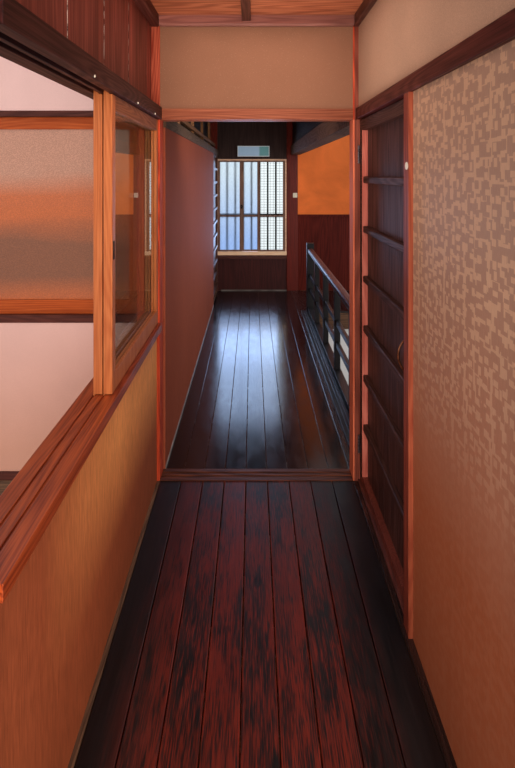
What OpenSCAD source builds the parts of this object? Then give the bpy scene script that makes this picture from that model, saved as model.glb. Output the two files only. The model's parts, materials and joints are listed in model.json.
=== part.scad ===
// Upper-floor corridor of an old timber townhouse, in millimetres.
// +X is right, +Y runs down the corridor, +Z is up. The origin is on the ground, at the centre
// of the footprint. The near bay has sliding windows on the left and a board door on the right.
// The far bay runs beside an open stairwell to a latticed window.

/* [Plan] */
// Clear width of the corridor between its posts
corridor_w = 955; // [850:5:1200]
// Clear width of the rooms cut through beside it
side_bay_w = 955; // [700:5:1200]
// Clear length of the near bay
near_bay_l = 1910; // [1700:10:2400]
// Clear length of the far bay
far_bay_l = 4775; // [4400:25:6000]
// Side of a post
post_w = 120; // [110:5:150]
// Width of the heavy post right of the end window
end_post_w = 145; // [130:5:200]
// How far that post stands into the corridor
end_post_in = 53; // [20:1:60]
// Planed edge of a post
chamfer = 5; // [2:1:8]

/* [Heights] */
// Finished floor above the ground the beams stand on
floor_h = 200; // [180:5:260]
// Underside of the head rails above the floor
head_h = 1785; // [1750:5:1950]
// Underside of the ceiling above the floor
ceiling_h = 2295; // [2250:5:2600]
// Thickness of the ceiling boards
ceiling_t = 12; // [9:1:18]
// Depth of the top plates and ties
plate_h = 120; // [90:5:180]

/* [Floor] */
// Thickness of the floor boards
board_t = 20; // [15:1:30]
// Width of a floor board
board_w = 106; // [80:1:150]
// Joint between two floor boards
board_gap = 2; // [1:0.5:4]
// Width of a joist
joist_w = 45; // [36:1:60]
// Depth of a joist
joist_d = 75; // [60:1:100]
// Spacing of the joists
joist_pitch = 303; // [250:1:455]
// Thickness of the threshold under the portal
threshold_t = 45; // [30:1:60]
// How far the threshold stands above the boards
threshold_rise = 3; // [1:1:8]
// Width of a door track
track_w = 21; // [18:1:24]
// Gap between the two door tracks
track_gap = 13; // [8:1:20]
// Depth of a door track in the threshold
track_d = 3; // [2:1:6]
// Width of the floor beam along the stairwell
stair_edge_w = 180; // [175:5:220]
// Width of the trimmer beam at the landing
trimmer_w = 90; // [70:5:120]

/* [Window wall] */
// Top of the window sill above the floor
sill_h = 780; // [700:5:900]
// Thickness of the sill
sill_t = 35; // [30:1:45]
// How far sill and head stand in front of the posts
sill_over = 10; // [5:1:20]
// Depth of the window head
window_head_t = 60; // [45:1:80]
// Thickness of a plastered wall
wall_t = 80; // [60:1:90]
// Papered lower wall behind the posts' inner face
paper_inset = 15; // [8:1:25]
// Boards over the window behind the posts' inner face
boards_inset = 42; // [30:1:50]
// Thickness of the boards over the window
upper_board_t = 24; // [18:1:30]
// Width of a board over the window
upper_board_w = 405; // [300:5:450]
// Thickness of a sliding sash
sash_t = 30; // [26:1:34]
// Inner sash behind the posts' inner face
sash_inset = 9; // [6:1:12]
// Gap between the two sashes
sash_gap = 3.5; // [2:0.5:6]
// Width of a sash stile
stile_w = 45; // [35:1:60]
// Height of a sash's top rail
top_rail_h = 55; // [40:1:70]
// Height of a sash's bottom rail
bottom_rail_h = 65; // [50:1:90]
// Width of a sash groove in the sill
sill_groove_w = 7; // [5:1:10]
// Depth of a sash groove in the sill
sill_groove_d = 5; // [4:1:8]
// Width of a sash groove in the head
head_groove_w = 20; // [16:1:22]
// Depth of a sash groove in the head
head_groove_d = 15; // [11:1:20]
// Sideways play of a tongue in its groove
tongue_play = 1; // [0.5:0.5:2]
// Gap over and under a sash
sash_play = 2; // [1:1:4]
// Thickness of a pane
glass_t = 4; // [3:1:5]
// How deep a pane is held in its frame
glass_grip = 8; // [6:1:12]
// Play of a pane in its frame
glass_play = 0.5; // [0.5:0.5:1]

/* [Upper walls and ceiling] */
// Depth of the head rails on the right and over the portal
head_t = 54; // [45:1:80]
// Right head rail behind the posts' inner face
head_inset = 11; // [6:1:15]
// Right walls behind the posts' inner face
right_inset = 26; // [20:1:32]
// Height of the moulding round the ceiling
crown_h = 52; // [35:1:70]
// Depth of the moulding at the portal
crown_d = 30; // [20:1:45]
// Bevel along the lower edge of the moulding
crown_bevel = 8; // [4:1:12]
// Width of the ceiling batten
batten_w = 42; // [30:1:60]
// Height of the ceiling batten
batten_h = 32; // [20:1:45]
// Batten left of the corridor's centre
batten_x = 50; // [0:5:120]
// Plaster over the portal behind the face of its posts
panel_inset = 8; // [5:1:20]

/* [Board door] */
// Clear width of the doorway
door_w = 955; // [700:5:1000]
// Width of the jamb
jamb_w = 65; // [50:1:90]
// Thickness of the door
leaf_t = 35; // [30:1:42]
// Door behind the face of the jamb
leaf_inset = 21.5; // [17:0.5:26]
// Gap at the door's free edge
free_gap = 6; // [6:0.5:9]
// Gap at the hinges
hinge_gap = 8; // [8:0.5:10]
// Gap over the door
top_gap = 5; // [5:0.5:8]
// Gap under the door
bottom_gap = 6; // [5:0.5:12]
// Height of the door's sill above the floor
door_sill_t = 12; // [8:1:20]
// Gap between the door and its stop
stop_gap = 5; // [5:0.5:7]
// Thickness and width of the stop
stop_t = 12; // [8:1:14]
// Width of the door's stiles
leaf_stile_w = 55; // [40:1:80]
// Height of the door's top rail
leaf_top_h = 52; // [40:1:70]
// Height of the door's bottom rail
leaf_bottom_h = 32; // [30:1:60]
// Number of rails between the top and the bottom
leaf_rails = 6; // [3:1:8]
// Height of such a rail
leaf_rail_h = 32; // [24:1:40]
// Such a rail behind the face of the stiles
leaf_rail_inset = 5; // [2:1:8]
// Bevel on the front edges of such a rail
leaf_bevel = 4; // [2:1:6]
// Thickness of the door's boards
leaf_board_t = 8; // [6:1:12]
// Width of a door board
leaf_board_w = 120; // [80:5:180]
// Height of the pull above the floor
pull_h = 890; // [800:5:1000]
// Chord of the bow pull
pull_l = 115; // [90:5:140]
// How far the pull stands out
pull_out = 27; // [22:1:35]
// Radius of the pull's rod
pull_r = 3.5; // [3:0.5:5]
// Radius of the pull's round foot
pull_foot_r = 8; // [6:1:10]
// Thickness of that foot
pull_foot_t = 3; // [2:1:5]
// Length of a hinge
hinge_l = 84; // [70:1:110]
// Radius of a hinge knuckle
knuckle_r = 5; // [4.5:0.1:5.2]
// Radius of a hinge pin
pin_r = 2.5; // [2:0.1:2.8]
// Play between the pin and its knuckles
pin_play = 0.05; // [0.03:0.01:0.08]
// Gap between two knuckles
knuckle_gap = 0.5; // [0.3:0.1:1]
// Thickness of a hinge plate
hinge_plate_t = 2.5; // [2:0.1:2.6]
// Width of a hinge plate
hinge_plate_w = 30; // [22:1:32]
// Gap between a knuckle and the wood beside it
hinge_clear = 1; // [0.8:0.1:1.2]
// Head of a hinge pin
pin_head_r = 4; // [3.5:0.1:4.5]
// Hinges in from the ends of the door
hinge_in = 168; // [120:1:250]

/* [Far bay] */
// Thickness of the long wall
far_wall_t = 100; // [80:5:110]
// Top of the long wall above the floor
far_wall_h = 1755; // [1600:5:1800]
// Depth of the rail on the long wall
far_rail_t = 65; // [45:1:90]
// How far that rail stands in front of the wall
far_rail_over = 5; // [2:1:15]
// Gap over the rail, up to the bar
bar_gap = 55; // [40:1:90]
// Depth of the bar
bar_h = 30; // [20:1:45]
// Side of a strut
strut_w = 25; // [20:1:30]
// Number of struts
struts = 4; // [2:1:6]
// Width of the slatted door at the far end
slatted_w = 920; // [700:5:1000]
// Thickness of that door
slatted_t = 30; // [24:1:40]
// Face of that door behind the long wall
slatted_inset = 5; // [3:1:15]
// Width of its stiles
slatted_stile_w = 35; // [28:1:50]
// Height of a slat
slat_h = 28; // [20:1:36]
// Spacing of the slats
slat_pitch = 165; // [120:1:250]
// Thickness of its backing boards
slatted_board_t = 8; // [6:1:12]
// Thickness of the boards over the long wall
far_board_l_t = 20; // [15:1:28]
// Thickness of the boards over the stair beam
far_board_r_t = 25; // [15:1:30]
// Boards over the stair beam behind its inner face
far_board_r_inset = 20; // [10:1:35]
// Underside of the stair beam above the floor
stair_beam_h = 1765; // [1700:5:1850]
// Depth of the stair beam
stair_beam_d = 120; // [100:5:180]

/* [Railing] */
// Length of the railing between the centres of its end posts
railing_l = 3600; // [2800:50:3900]
// Railing's centre beyond the post's inner face
railing_x = 140; // [130:1:141]
// Side of the newel posts
newel_w = 77; // [60:1:77]
// Height of the newel posts
newel_h = 753; // [740:1:900]
// Side of the small posts
baluster_w = 45; // [35:1:55]
// Number of spaces between the posts
railing_bays = 5; // [4:1:7]
// Top of the handrail above the floor
handrail_h = 695; // [650:1:730]
// Width of the handrail
handrail_w = 62; // [50:1:70]
// Depth of the handrail
handrail_t = 40; // [30:1:50]
// Height of the upper middle rail
upper_rail_h = 400; // [340:1:460]
// Height of the lower middle rail
lower_rail_h = 240; // [180:1:300]
// Depth of a middle rail
mid_rail_h = 40; // [30:1:50]
// Thickness of a middle rail
mid_rail_t = 25; // [18:1:32]
// Width of the base rail
base_rail_w = 60; // [50:1:70]
// Height of the base rail
base_rail_h = 45; // [30:1:60]
// Width of the raised strip between the floor and the railing
edge_strip_w = 62; // [50:1:70]
// Height of that strip
edge_strip_h = 14; // [10:1:20]
// Width of the two grooves in it
edge_groove_w = 14; // [8:1:18]

/* [End window] */
// Bottom of the window frame above the floor
window_bottom_h = 460; // [430:1:560]
// Top of the window frame above the floor
window_top_h = 1711; // [1600:1:1740]
// Face width of the frame at the right and the top
frame_w = 20; // [14:1:26]
// Face width of the frame at the left, beside the slatted door
frame_left_w = 6; // [5:1:12]
// Height of the frame's bottom piece
frame_bottom_h = 48; // [34:1:60]
// Depth of the frame
frame_d = 70; // [60:1:80]
// Frame behind the inner face of the posts
frame_inset = 15; // [10:1:20]
// Thickness of a window sash
light_t = 22; // [18:1:26]
// Gap between the two sash tracks
light_gap = 3; // [2:1:5]
// Width of the left light
left_light_w = 312; // [280:1:340]
// Width of the middle light
mid_light_w = 233; // [215:1:270]
// How far the left light laps over the middle one
left_lap = 3; // [1:1:6]
// How far the right light laps over the middle one
right_lap = 22; // [12:1:28]
// Width of a light's stiles
light_stile_w = 28; // [24:1:38]
// Height of a light's top and bottom rails
light_end_h = 19; // [18:1:30]
// Height of the middle rail's centre above the floor
light_rail_at = 970; // [900:1:1100]
// Height of the middle rail
light_rail_h = 20; // [18:1:30]
// Height of the board under the frame
window_board_h = 20; // [15:1:40]
// Height of the ledge under it
ledge_h = 28; // [15:1:36]
// How far the ledge stands into the corridor
ledge_out = 12; // [5:1:20]
// Height of the wainscot beside the stairwell
side_wainscot_h = 990; // [900:5:1100]
// Height of the cap on it
cap_h = 30; // [20:1:40]
// Width of a lattice bar
lattice_bar_w = 22; // [18:1:40]
// Spacing of the lattice bars
lattice_pitch = 107.5; // [90:0.5:140]
// How far the lattice reaches past the window, left and right
lattice_lap = 105; // [60:5:110]
// Thickness of the lattice bars
lattice_bar_t = 25; // [20:1:30]
// Thickness of the lattice rails
lattice_rail_t = 20; // [15:1:25]
// Height of a lattice rail
lattice_rail_h = 45; // [30:1:60]
// How far the lattice reaches past the window, up and down
lattice_past = 50; // [30:5:80]

/* [Room partition] */
// Top of the lower white wall above the floor
room_wall_h = 779; // [700:1:900]
// Thickness of the partition's sill
room_sill_t = 39; // [30:1:50]
// Underside of the partition's head above the floor
room_head_h = 1800; // [1750:1:1850]
// Thickness of the partition's head
room_head_t = 30; // [25:1:50]
// Height of the base board
room_base_h = 43; // [30:1:60]
// Height of the room window's top rail
room_top_rail_h = 60; // [45:1:80]
// Height of the room window's bottom rail
room_bottom_rail_h = 69; // [50:1:90]
// Partition behind the face of the posts
room_inset = 12; // [8:1:20]

/* [Hidden] */
$fn = 48;
eps = 0.5; // cutters pass a face by this much

// Lines of the plan
xi = corridor_w / 2;      // inner face of the posts
xo = xi + post_w;         // outer face of the posts
xs = xo + side_bay_w;     // inner face of the outer posts
xe = xs + post_w;         // outer face of the outer posts
lattice_t = lattice_rail_t + lattice_bar_t;
total_l = 3 * post_w + near_bay_l + far_bay_l + lattice_t;
ya0 = -total_l / 2;       // near posts
ya1 = ya0 + post_w;
yp0 = ya1 + near_bay_l;   // portal posts
yp1 = yp0 + post_w;
ye0 = yp1 + far_bay_l;    // end posts
ye1 = ye0 + post_w;

// Levels
fl = floor_h;
zh = fl + head_h;
zc = fl + ceiling_h;
zt = zc + ceiling_t;
ztop = zt + plate_h;

// Window wall
z_sill = fl + sill_h;
z_whead = zh + window_head_t;
x_paper = -(xi + paper_inset);
x_boards = -(xi + boards_inset);
x_sash = [-(xi + sash_inset + sash_t / 2), -(xi + sash_inset + 1.5 * sash_t + sash_gap)];
sash_w = (near_bay_l + stile_w) / 2;
x_sash_back = [x_sash[0] - sash_t / 2, x_sash[1] - sash_t / 2];

// Right side and the board door
z_head = zh + head_t;
x_head = xi + head_inset;
x_right = xi + right_inset;
yj1 = yp0 - door_w;       // jamb's face in the doorway
yj0 = yj1 - jamb_w;
x_leaf = x_head + leaf_inset;
y_leaf1 = yp0 - hinge_gap;
y_leaf0 = yj1 + free_gap;
z_leaf0 = fl + door_sill_t + bottom_gap;
z_leaf1 = zh - top_gap;
x_hinge = x_leaf - knuckle_r - hinge_clear;
y_hinge = yp0 - knuckle_r - hinge_clear;
hinge_z = [z_leaf0 + hinge_in, z_leaf1 - hinge_in];
knuckle_l = hinge_l / 3;

// Far bay
x_far_wall = -(xi - sill_over);
x_far_back = x_far_wall - far_wall_t;
ys0 = ye0 - slatted_w;
z_far_wall = fl + far_wall_h;
z_far_rail = z_far_wall + far_rail_t;
x_slatted = x_far_wall - slatted_inset;
z_stair_beam = fl + stair_beam_h + stair_beam_d;
x_stair_edge = xi + stair_edge_w;
x_rail = xi + railing_x;
y_newel = yp1 + newel_w / 2;
y_landing = yp1 + railing_l;
railing_step = (railing_l - newel_w / 2) / railing_bays;
x_strip1 = x_rail - newel_w / 2;

// End wall
x_end_post = xi - end_post_in;
x_end_side = x_end_post + end_post_w;
z_win0 = fl + window_bottom_h;
z_win1 = fl + window_top_h;
y_frame = ye0 + frame_inset;
z_board = z_win0 - window_board_h;
z_ledge = z_board - ledge_h;
light_z0 = z_win0 + frame_bottom_h;
light_z1 = z_win1 - frame_w;
light_x0 = -xi + frame_left_w;
light_x1 = light_x0 + left_light_w - left_lap;
light_x2 = light_x1 + mid_light_w - right_lap;
light_x3 = x_end_post - frame_w;
// Left and right edge and track of each light: the middle one runs behind the other two
LIGHTS = [[light_x0, light_x0 + left_light_w, -1],
          [light_x1, light_x1 + mid_light_w, 1],
          [light_x2, light_x3, -1]];

// Room partition
y_room = yp0 + room_inset;

// A block from its lowest to its highest corner
module block(a, b) {
    translate(a) cube(b - a);
}

// An upright timber with planed edges
module post(x0, x1, y0, y1, z0, z1) {
    c = chamfer;
    translate([0, 0, z0])
        linear_extrude(z1 - z0)
            polygon([[x0 + c, y0], [x1 - c, y0], [x1, y0 + c], [x1, y1 - c],
                     [x1 - c, y1], [x0 + c, y1], [x0, y1 - c], [x0, y0 + c]]);
}

// A profile in X and Z, drawn out along the corridor
module run_y(y0, y1) {
    translate([0, y1, 0]) rotate([90, 0, 0]) linear_extrude(y1 - y0) children();
}

// A profile in Y and Z, drawn out across the corridor
module run_x(x0, x1) {
    translate([x0, 0, 0]) rotate([90, 0, 90]) linear_extrude(x1 - x0) children();
}

// Boards side by side along X: a slab with a joint every pitch
module boards_x(a, b, pitch, gap, depth) {
    count = max(1, round((b[0] - a[0]) / pitch));
    step = (b[0] - a[0]) / count;
    difference() {
        block(a, b);
        for (i = [1 : count - 1])
            block([a[0] + i * step - gap / 2, a[1] - eps, b[2] - depth],
                  [a[0] + i * step + gap / 2, b[1] + eps, b[2] + eps]);
    }
}

// A framed light in the Y-Z plane: two stiles, two rails and a slot round the opening for a pane
module light_yz(x, t, y0, y1, z0, z1, stile, top, bottom) {
    difference() {
        block([x - t / 2, y0, z0], [x + t / 2, y1, z1]);
        block([x - t / 2 - eps, y0 + stile, z0 + bottom], [x + t / 2 + eps, y1 - stile, z1 - top]);
        pane_slot_yz(x, y0 + stile, y1 - stile, z0 + bottom, z1 - top);
    }
}

module pane_slot_yz(x, y0, y1, z0, z1) {
    h = glass_t / 2 + glass_play;
    block([x - h, y0 - glass_grip, z0 - glass_grip], [x + h, y1 + glass_grip, z1 + glass_grip]);
}

// The pane that stands on the bottom of that slot
module pane_yz(x, y0, y1, z0, z1) {
    g = glass_grip - glass_play;
    block([x - glass_t / 2, y0 - g, z0 - glass_grip], [x + glass_t / 2, y1 + g, z1 + g]);
}

// The same light in the X-Z plane, with any number of middle rails
module light_xz(y, t, x0, x1, z0, z1, stile, top, bottom, rails = [], rail_h = 0) {
    difference() {
        block([x0, y - t / 2, z0], [x1, y + t / 2, z1]);
        difference() {
            block([x0 + stile, y - t / 2 - eps, z0 + bottom], [x1 - stile, y + t / 2 + eps, z1 - top]);
            for (z = rails)
                block([x0, y - t, z - rail_h / 2], [x1, y + t, z + rail_h / 2]);
        }
        pane_slot_xz(y, x0 + stile, x1 - stile, z0 + bottom, z1 - top);
    }
}

module pane_slot_xz(y, x0, x1, z0, z1) {
    h = glass_t / 2 + glass_play;
    block([x0 - glass_grip, y - h, z0 - glass_grip], [x1 + glass_grip, y + h, z1 + glass_grip]);
}

module pane_xz(y, x0, x1, z0, z1) {
    g = glass_grip - glass_play;
    block([x0 - g, y - glass_t / 2, z0 - glass_grip], [x1 + g, y + glass_t / 2, z1 + g]);
}

// Long floor beams: left, right with its wide part at the stairwell, and the outer one
module side_floor_beams() {
    color("#3a2318") {
        block([-xo, ya0, 0], [-xi, ye1, fl]);
        union() {
            block([xi, ya0, 0], [xo, ye1, fl]);
            block([xi, yp1, 0], [x_stair_edge, ye0, fl]);
        }
        block([xs, yp0, 0], [xe, ye1, fl]);
    }
}

// Beams across: the ends, the portal line and the landing's trimmer
module cross_floor_beams() {
    color("#3a2318") {
        block([-xi, ya0, 0], [xi, ya1, fl - board_t]);
        block([-xi, yp0, 0], [xi, yp1, fl - threshold_t]);
        block([-xe, yp0, 0], [-xo, yp1, fl]);
        block([xo, yp0, 0], [xs, yp1, fl]);
        block([x_stair_edge, y_landing, 0], [xs, y_landing + trimmer_w, fl - board_t]);
        block([-xi, ye0, 0], [xi, ye1, fl]);
        block([xo, ye0, 0], [xs, ye1, fl]);
    }
}

// Joists across a bay, evenly spaced and no further apart than the pitch
module joists(x0, x1, y0, y1) {
    count = ceil((y1 - y0) / joist_pitch) - 1;
    step = (y1 - y0) / (count + 1);
    for (i = [1 : count])
        block([x0, y0 + i * step - joist_w / 2, fl - board_t - joist_d],
              [x1, y0 + i * step + joist_w / 2, fl - board_t]);
}

module floor_joists() {
    color("#4a3020") {
        joists(-xi, xi, ya1, yp0);
        joists(-xi, xi, yp1, ye0);
        joists(x_stair_edge, xs, y_landing + trimmer_w, ye0);
    }
}

module near_floor() {
    color("#3d1a12")
        boards_x([-xi, ya0, fl - board_t], [xi, yp0, fl], board_w, board_gap, board_t / 3);
}

module far_floor() {
    color("#1c1210") {
        boards_x([-xi, yp1, fl - board_t], [xi, ye0, fl], board_w, board_gap, board_t / 3);
        boards_x([x_stair_edge, y_landing, fl - board_t], [xs, ye0, fl], board_w, board_gap, board_t / 3);
    }
}

// Door tracks, one behind the other, cut into a piece across the portal
module portal_tracks(z, depth) {
    for (s = [-1, 1])
        translate([0, (yp0 + yp1) / 2 + s * (track_w + track_gap) / 2, 0])
            block([-xi - eps, -track_w / 2, min(z, z + depth)], [xi + eps, track_w / 2, max(z, z + depth)]);
}

module portal_threshold() {
    top = fl + threshold_rise;
    color("#2e1a14")
        difference() {
            block([-xi, yp0, fl - threshold_t], [xi, yp1, top]);
            portal_tracks(top - track_d, track_d + eps);
        }
}

module near_posts() {
    color("#7a3a1c")
        for (s = [-1, 1])
            post(min(s * xi, s * xo), max(s * xi, s * xo), ya0, ya1, fl, zt);
}

module portal_posts() {
    color("#8a4420")
        for (s = [-1, 1])
            post(min(s * xi, s * xo), max(s * xi, s * xo), yp0, yp1, fl, zt);
}

module end_posts() {
    color("#5a2a18") {
        post(-xo, -xi, ye0, ye1, fl, zt);
        post(x_end_post, x_end_side, ye0, ye1, fl, zt);
    }
}

// The post at the end of the room partition and the post at the corner of the stair bay
module outer_posts() {
    color("#6a3219") {
        post(-xe, -xs, yp0, yp1, fl, zt);
        post(xs, xe, ye0, ye1, fl, zt);
    }
}

module top_plates() {
    color("#4a2a1a")
        for (s = [-1, 1])
            block([min(s * xi, s * xo), ya0, zt], [max(s * xi, s * xo), ye1, ztop]);
}

module tie_beams() {
    color("#4a2a1a") {
        for (y = [ya0, yp0, ye0])
            block([-xi, y, zt], [xi, y + post_w, ztop]);
        block([-xe, yp0, zt], [-xo, yp1, ztop]);
        block([xo, ye0, zt], [xe, ye1, ztop]);
    }
}

// Papered wall under the sliding windows
module left_lower_wall() {
    color("#a8743a")
        block([x_paper - wall_t, ya1, fl], [x_paper, yp0, z_sill - sill_t]);
}

// Sill with a narrow groove for each sash, under the sash's far face
module window_sill() {
    color("#9a4a20")
        difference() {
            block([-xo, ya1, z_sill - sill_t], [-xi + sill_over, yp0, z_sill]);
            for (x = x_sash_back)
                block([x - tongue_play, ya1 - eps, z_sill - sill_groove_d],
                      [x - tongue_play + sill_groove_w, yp0 + eps, z_sill + eps]);
        }
}

module window_head() {
    color("#3c1c12")
        difference() {
            block([-xo, ya1, zh], [-xi + sill_over, yp0, z_whead]);
            for (x = x_sash_back)
                block([x - tongue_play, ya1 - eps, zh - eps],
                      [x - tongue_play + head_groove_w, yp0 + eps, zh + head_groove_d]);
        }
}

// A sliding sash at its parked place, with the tongues that run in the sill and the head
module sliding_sash(i) {
    z0 = z_sill + sash_play;
    z1 = zh - sash_play;
    x = x_sash_back[i];
    union() {
        light_yz(x_sash[i], sash_t, yp0 - sash_w, yp0, z0, z1, stile_w, top_rail_h, bottom_rail_h);
        block([x, yp0 - sash_w, z_sill - sill_groove_d],
              [x + sill_groove_w - 2 * tongue_play, yp0, z0 + eps]);
        block([x, yp0 - sash_w, z1 - eps],
              [x + head_groove_w - 2 * tongue_play, yp0, zh + head_groove_d - 2 * sash_play]);
    }
}

module corridor_sash() {
    color("#b4622c") sliding_sash(0);
}

module room_side_sash() {
    color("#b4622c") sliding_sash(1);
}

module sash_glass() {
    color("#c8d4d0", 0.35)
        for (x = x_sash)
            pane_yz(x, yp0 - sash_w + stile_w, yp0 - stile_w,
                    z_sill + sash_play + bottom_rail_h, zh - sash_play - top_rail_h);
}

// Upright boards between the window head and the plate, with V joints on the corridor side. The
// whole boards stand in the middle, and what is left over is shared by the two ends.
module left_upper_boards() {
    count = floor(near_bay_l / upper_board_w);
    first = ya1 + (near_bay_l - count * upper_board_w) / 2;
    v = upper_board_t / 6;
    color("#5a2416")
        difference() {
            block([x_boards - upper_board_t, ya1, z_whead], [x_boards, yp0, zt]);
            for (i = [0 : count])
                translate([x_boards, first + i * upper_board_w, z_whead - eps])
                    linear_extrude(zt - z_whead + 2 * eps)
                        polygon([[-v, 0], [eps, -v - eps], [eps, v + eps]]);
        }
}

module ceiling_boards() {
    color("#b0602a")
        union() {
            block([x_boards, ya1, zc], [x_right, yp0, zt]);
            block([-xi, ya0, zc], [xi, yp0 + panel_inset, zt]);
        }
}

// Moulding round the ceiling with a bevel on its lower inner edge, and the batten
module ceiling_trim() {
    b = crown_bevel;
    color("#50281c")
        union() {
            run_y(ya1, yp0)
                polygon([[x_boards, zc - crown_h], [-xi - b, zc - crown_h], [-xi, zc - crown_h + b],
                         [-xi, zc], [x_boards, zc]]);
            run_y(ya1, yp0)
                polygon([[x_right, zc - crown_h], [x_right, zc], [xi, zc], [xi, zc - crown_h + b],
                         [xi + b, zc - crown_h]]);
            run_x(-xi, xi)
                polygon([[yp0, zc - crown_h], [yp0, zc], [yp0 - crown_d, zc],
                         [yp0 - crown_d, zc - crown_h + b], [yp0 - crown_d + b, zc - crown_h]]);
            run_x(-xi, xi)
                polygon([[ya1, zc - crown_h], [ya1 + crown_d - b, zc - crown_h],
                         [ya1 + crown_d, zc - crown_h + b], [ya1 + crown_d, zc], [ya1, zc]]);
            block([-batten_x - batten_w / 2, ya1, zc - batten_h], [-batten_x + batten_w / 2, yp0, zc]);
        }
}

module right_head() {
    color("#6e3018") block([x_head, ya1, zh], [xo, yp0, z_head]);
}

module right_upper_wall() {
    color("#a87c58") block([x_right, ya1, z_head], [x_right + wall_t, yp0, zt]);
}

module right_lower_wall() {
    color("#94683e") block([x_right, ya1, fl], [x_right + wall_t, yj0, zh]);
}

module door_jamb() {
    color("#7a3418") block([x_head, yj0, fl], [xo, yj1, zh]);
}

module door_sill() {
    color("#5a2a18") block([x_head + leaf_inset / 2, yj1, fl], [xo, yp0, fl + door_sill_t]);
}

// Stops on the jamb, on the post and under the head, that the door closes against
module door_stops() {
    x0 = x_leaf + leaf_t + stop_gap;
    x1 = x0 + stop_t;
    color("#5a2a18") {
        block([x0, yj1, fl + door_sill_t], [x1, yj1 + stop_t, zh]);
        block([x0, yp0 - stop_t, fl + door_sill_t], [x1, yp0, zh]);
        block([x0, yj1 + stop_t + eps, zh - stop_t], [x1, yp0 - stop_t - eps, zh]);
    }
}

x_leaf_board = x_leaf + leaf_t - leaf_board_t;

// Stiles and end rails of the door, rebated at the back, and its bevelled middle rails
module door_frame() {
    clear_h = z_leaf1 - leaf_top_h - z_leaf0 - leaf_bottom_h;
    x = x_leaf + leaf_rail_inset;
    c = leaf_bevel;
    h = leaf_rail_h / 2;
    color("#4a2014")
        union() {
            difference() {
                block([x_leaf, y_leaf0, z_leaf0], [x_leaf + leaf_t, y_leaf1, z_leaf1]);
                block([x_leaf - eps, y_leaf0 + leaf_stile_w, z_leaf0 + leaf_bottom_h],
                      [x_leaf + leaf_t + eps, y_leaf1 - leaf_stile_w, z_leaf1 - leaf_top_h]);
            }
            for (i = [1 : leaf_rails])
                translate([0, 0, z_leaf0 + leaf_bottom_h + i * clear_h / (leaf_rails + 1)])
                    run_y(y_leaf0 + leaf_stile_w - eps, y_leaf1 - leaf_stile_w + eps)
                        polygon([[x + c, -h], [x_leaf_board, -h], [x_leaf_board, h],
                                 [x + c, h], [x, h - c], [x, c - h]]);
        }
}

// Upright boards set flush into the back of the door
module door_boards() {
    y0 = y_leaf0 + leaf_stile_w;
    y1 = y_leaf1 - leaf_stile_w;
    z0 = z_leaf0 + leaf_bottom_h;
    z1 = z_leaf1 - leaf_top_h;
    count = round((y1 - y0) / leaf_board_w);
    step = (y1 - y0) / count;
    v = leaf_board_t / 4;
    color("#35170f")
        difference() {
            block([x_leaf_board, y0, z0], [x_leaf + leaf_t, y1, z1]);
            for (i = [1 : count - 1])
                translate([x_leaf_board, y0 + i * step, z_leaf0])
                    linear_extrude(z_leaf1 - z_leaf0)
                        polygon([[v, 0], [-eps, v + eps], [-eps, -v - eps]]);
        }
}

// Bow pull: an arc of round rod whose ends stand on two round feet
module door_pull() {
    bow_r = (pull_l * pull_l / 4 + pull_out * pull_out) / (2 * pull_out);
    half = asin(pull_l / 2 / bow_r);
    foot_margin = 2; // wood left beside the foot
    y = y_leaf0 + leaf_stile_w - pull_foot_r - foot_margin;
    color("#8a6a3a")
        translate([x_leaf, y, fl + pull_h])
            union() {
                difference() {
                    translate([bow_r - pull_out, 0, 0])
                        rotate([90, 0, 0])
                            rotate([0, 0, 180 - half])
                                rotate_extrude(angle = 2 * half)
                                    translate([bow_r, 0]) circle(pull_r, $fn = 24);
                    block([0, -pull_l, -pull_l], [pull_l, pull_l, pull_l]);
                }
                for (s = [-1, 1])
                    translate([-pull_foot_t, 0, s * pull_l / 2])
                        rotate([0, 90, 0]) cylinder(pull_foot_t, pull_foot_r, pull_foot_r);
            }
}

plate_reach = 2; // how far a hinge's knuckles run into its plate

// Two outer knuckles and the plate on the door's edge
module door_hinges() {
    t = hinge_plate_t;
    h = knuckle_l - knuckle_gap;
    bore_r = pin_r + pin_play;
    color("#6a5a3c")
        for (z = hinge_z)
            translate([x_hinge, y_hinge, z])
                difference() {
                    union() {
                        for (s = [-1, 1])
                            translate([0, 0, s * (knuckle_l + knuckle_gap / 2) - h / 2]) {
                                cylinder(h, knuckle_r, knuckle_r);
                                block([bore_r + eps, y_leaf1 - y_hinge, 0],
                                      [x_leaf - x_hinge + plate_reach, y_leaf1 - y_hinge + t, h]);
                            }
                        block([x_leaf - x_hinge, y_leaf1 - y_hinge, -hinge_l / 2],
                              [x_leaf - x_hinge + hinge_plate_w, y_leaf1 - y_hinge + t, hinge_l / 2]);
                    }
                    translate([0, 0, -hinge_l]) cylinder(2 * hinge_l, bore_r, bore_r);
                }
}

// The middle knuckle with its pin, and the plate on the post
module post_hinges() {
    t = hinge_plate_t;
    head_h = 2;
    over = 1; // pin past the outer knuckles, up to its head
    color("#6a5a3c")
        for (z = hinge_z)
            translate([x_hinge, y_hinge, z])
                union() {
                    cylinder(knuckle_l, knuckle_r, knuckle_r, center = true);
                    cylinder(hinge_l + 2 * over, pin_r, pin_r, center = true);
                    for (s = [-1, 1])
                        translate([0, 0, s * (hinge_l / 2 + over + head_h / 2)])
                            cylinder(head_h, pin_head_r, pin_head_r, center = true);
                    block([0, yp0 - y_hinge - t, -knuckle_l / 2],
                          [x_leaf - x_hinge + plate_reach, yp0 - y_hinge, knuckle_l / 2]);
                    block([x_leaf - x_hinge, yp0 - y_hinge - t, -hinge_l / 2],
                          [x_leaf - x_hinge + hinge_plate_w, yp0 - y_hinge, hinge_l / 2]);
                }
}

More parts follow.
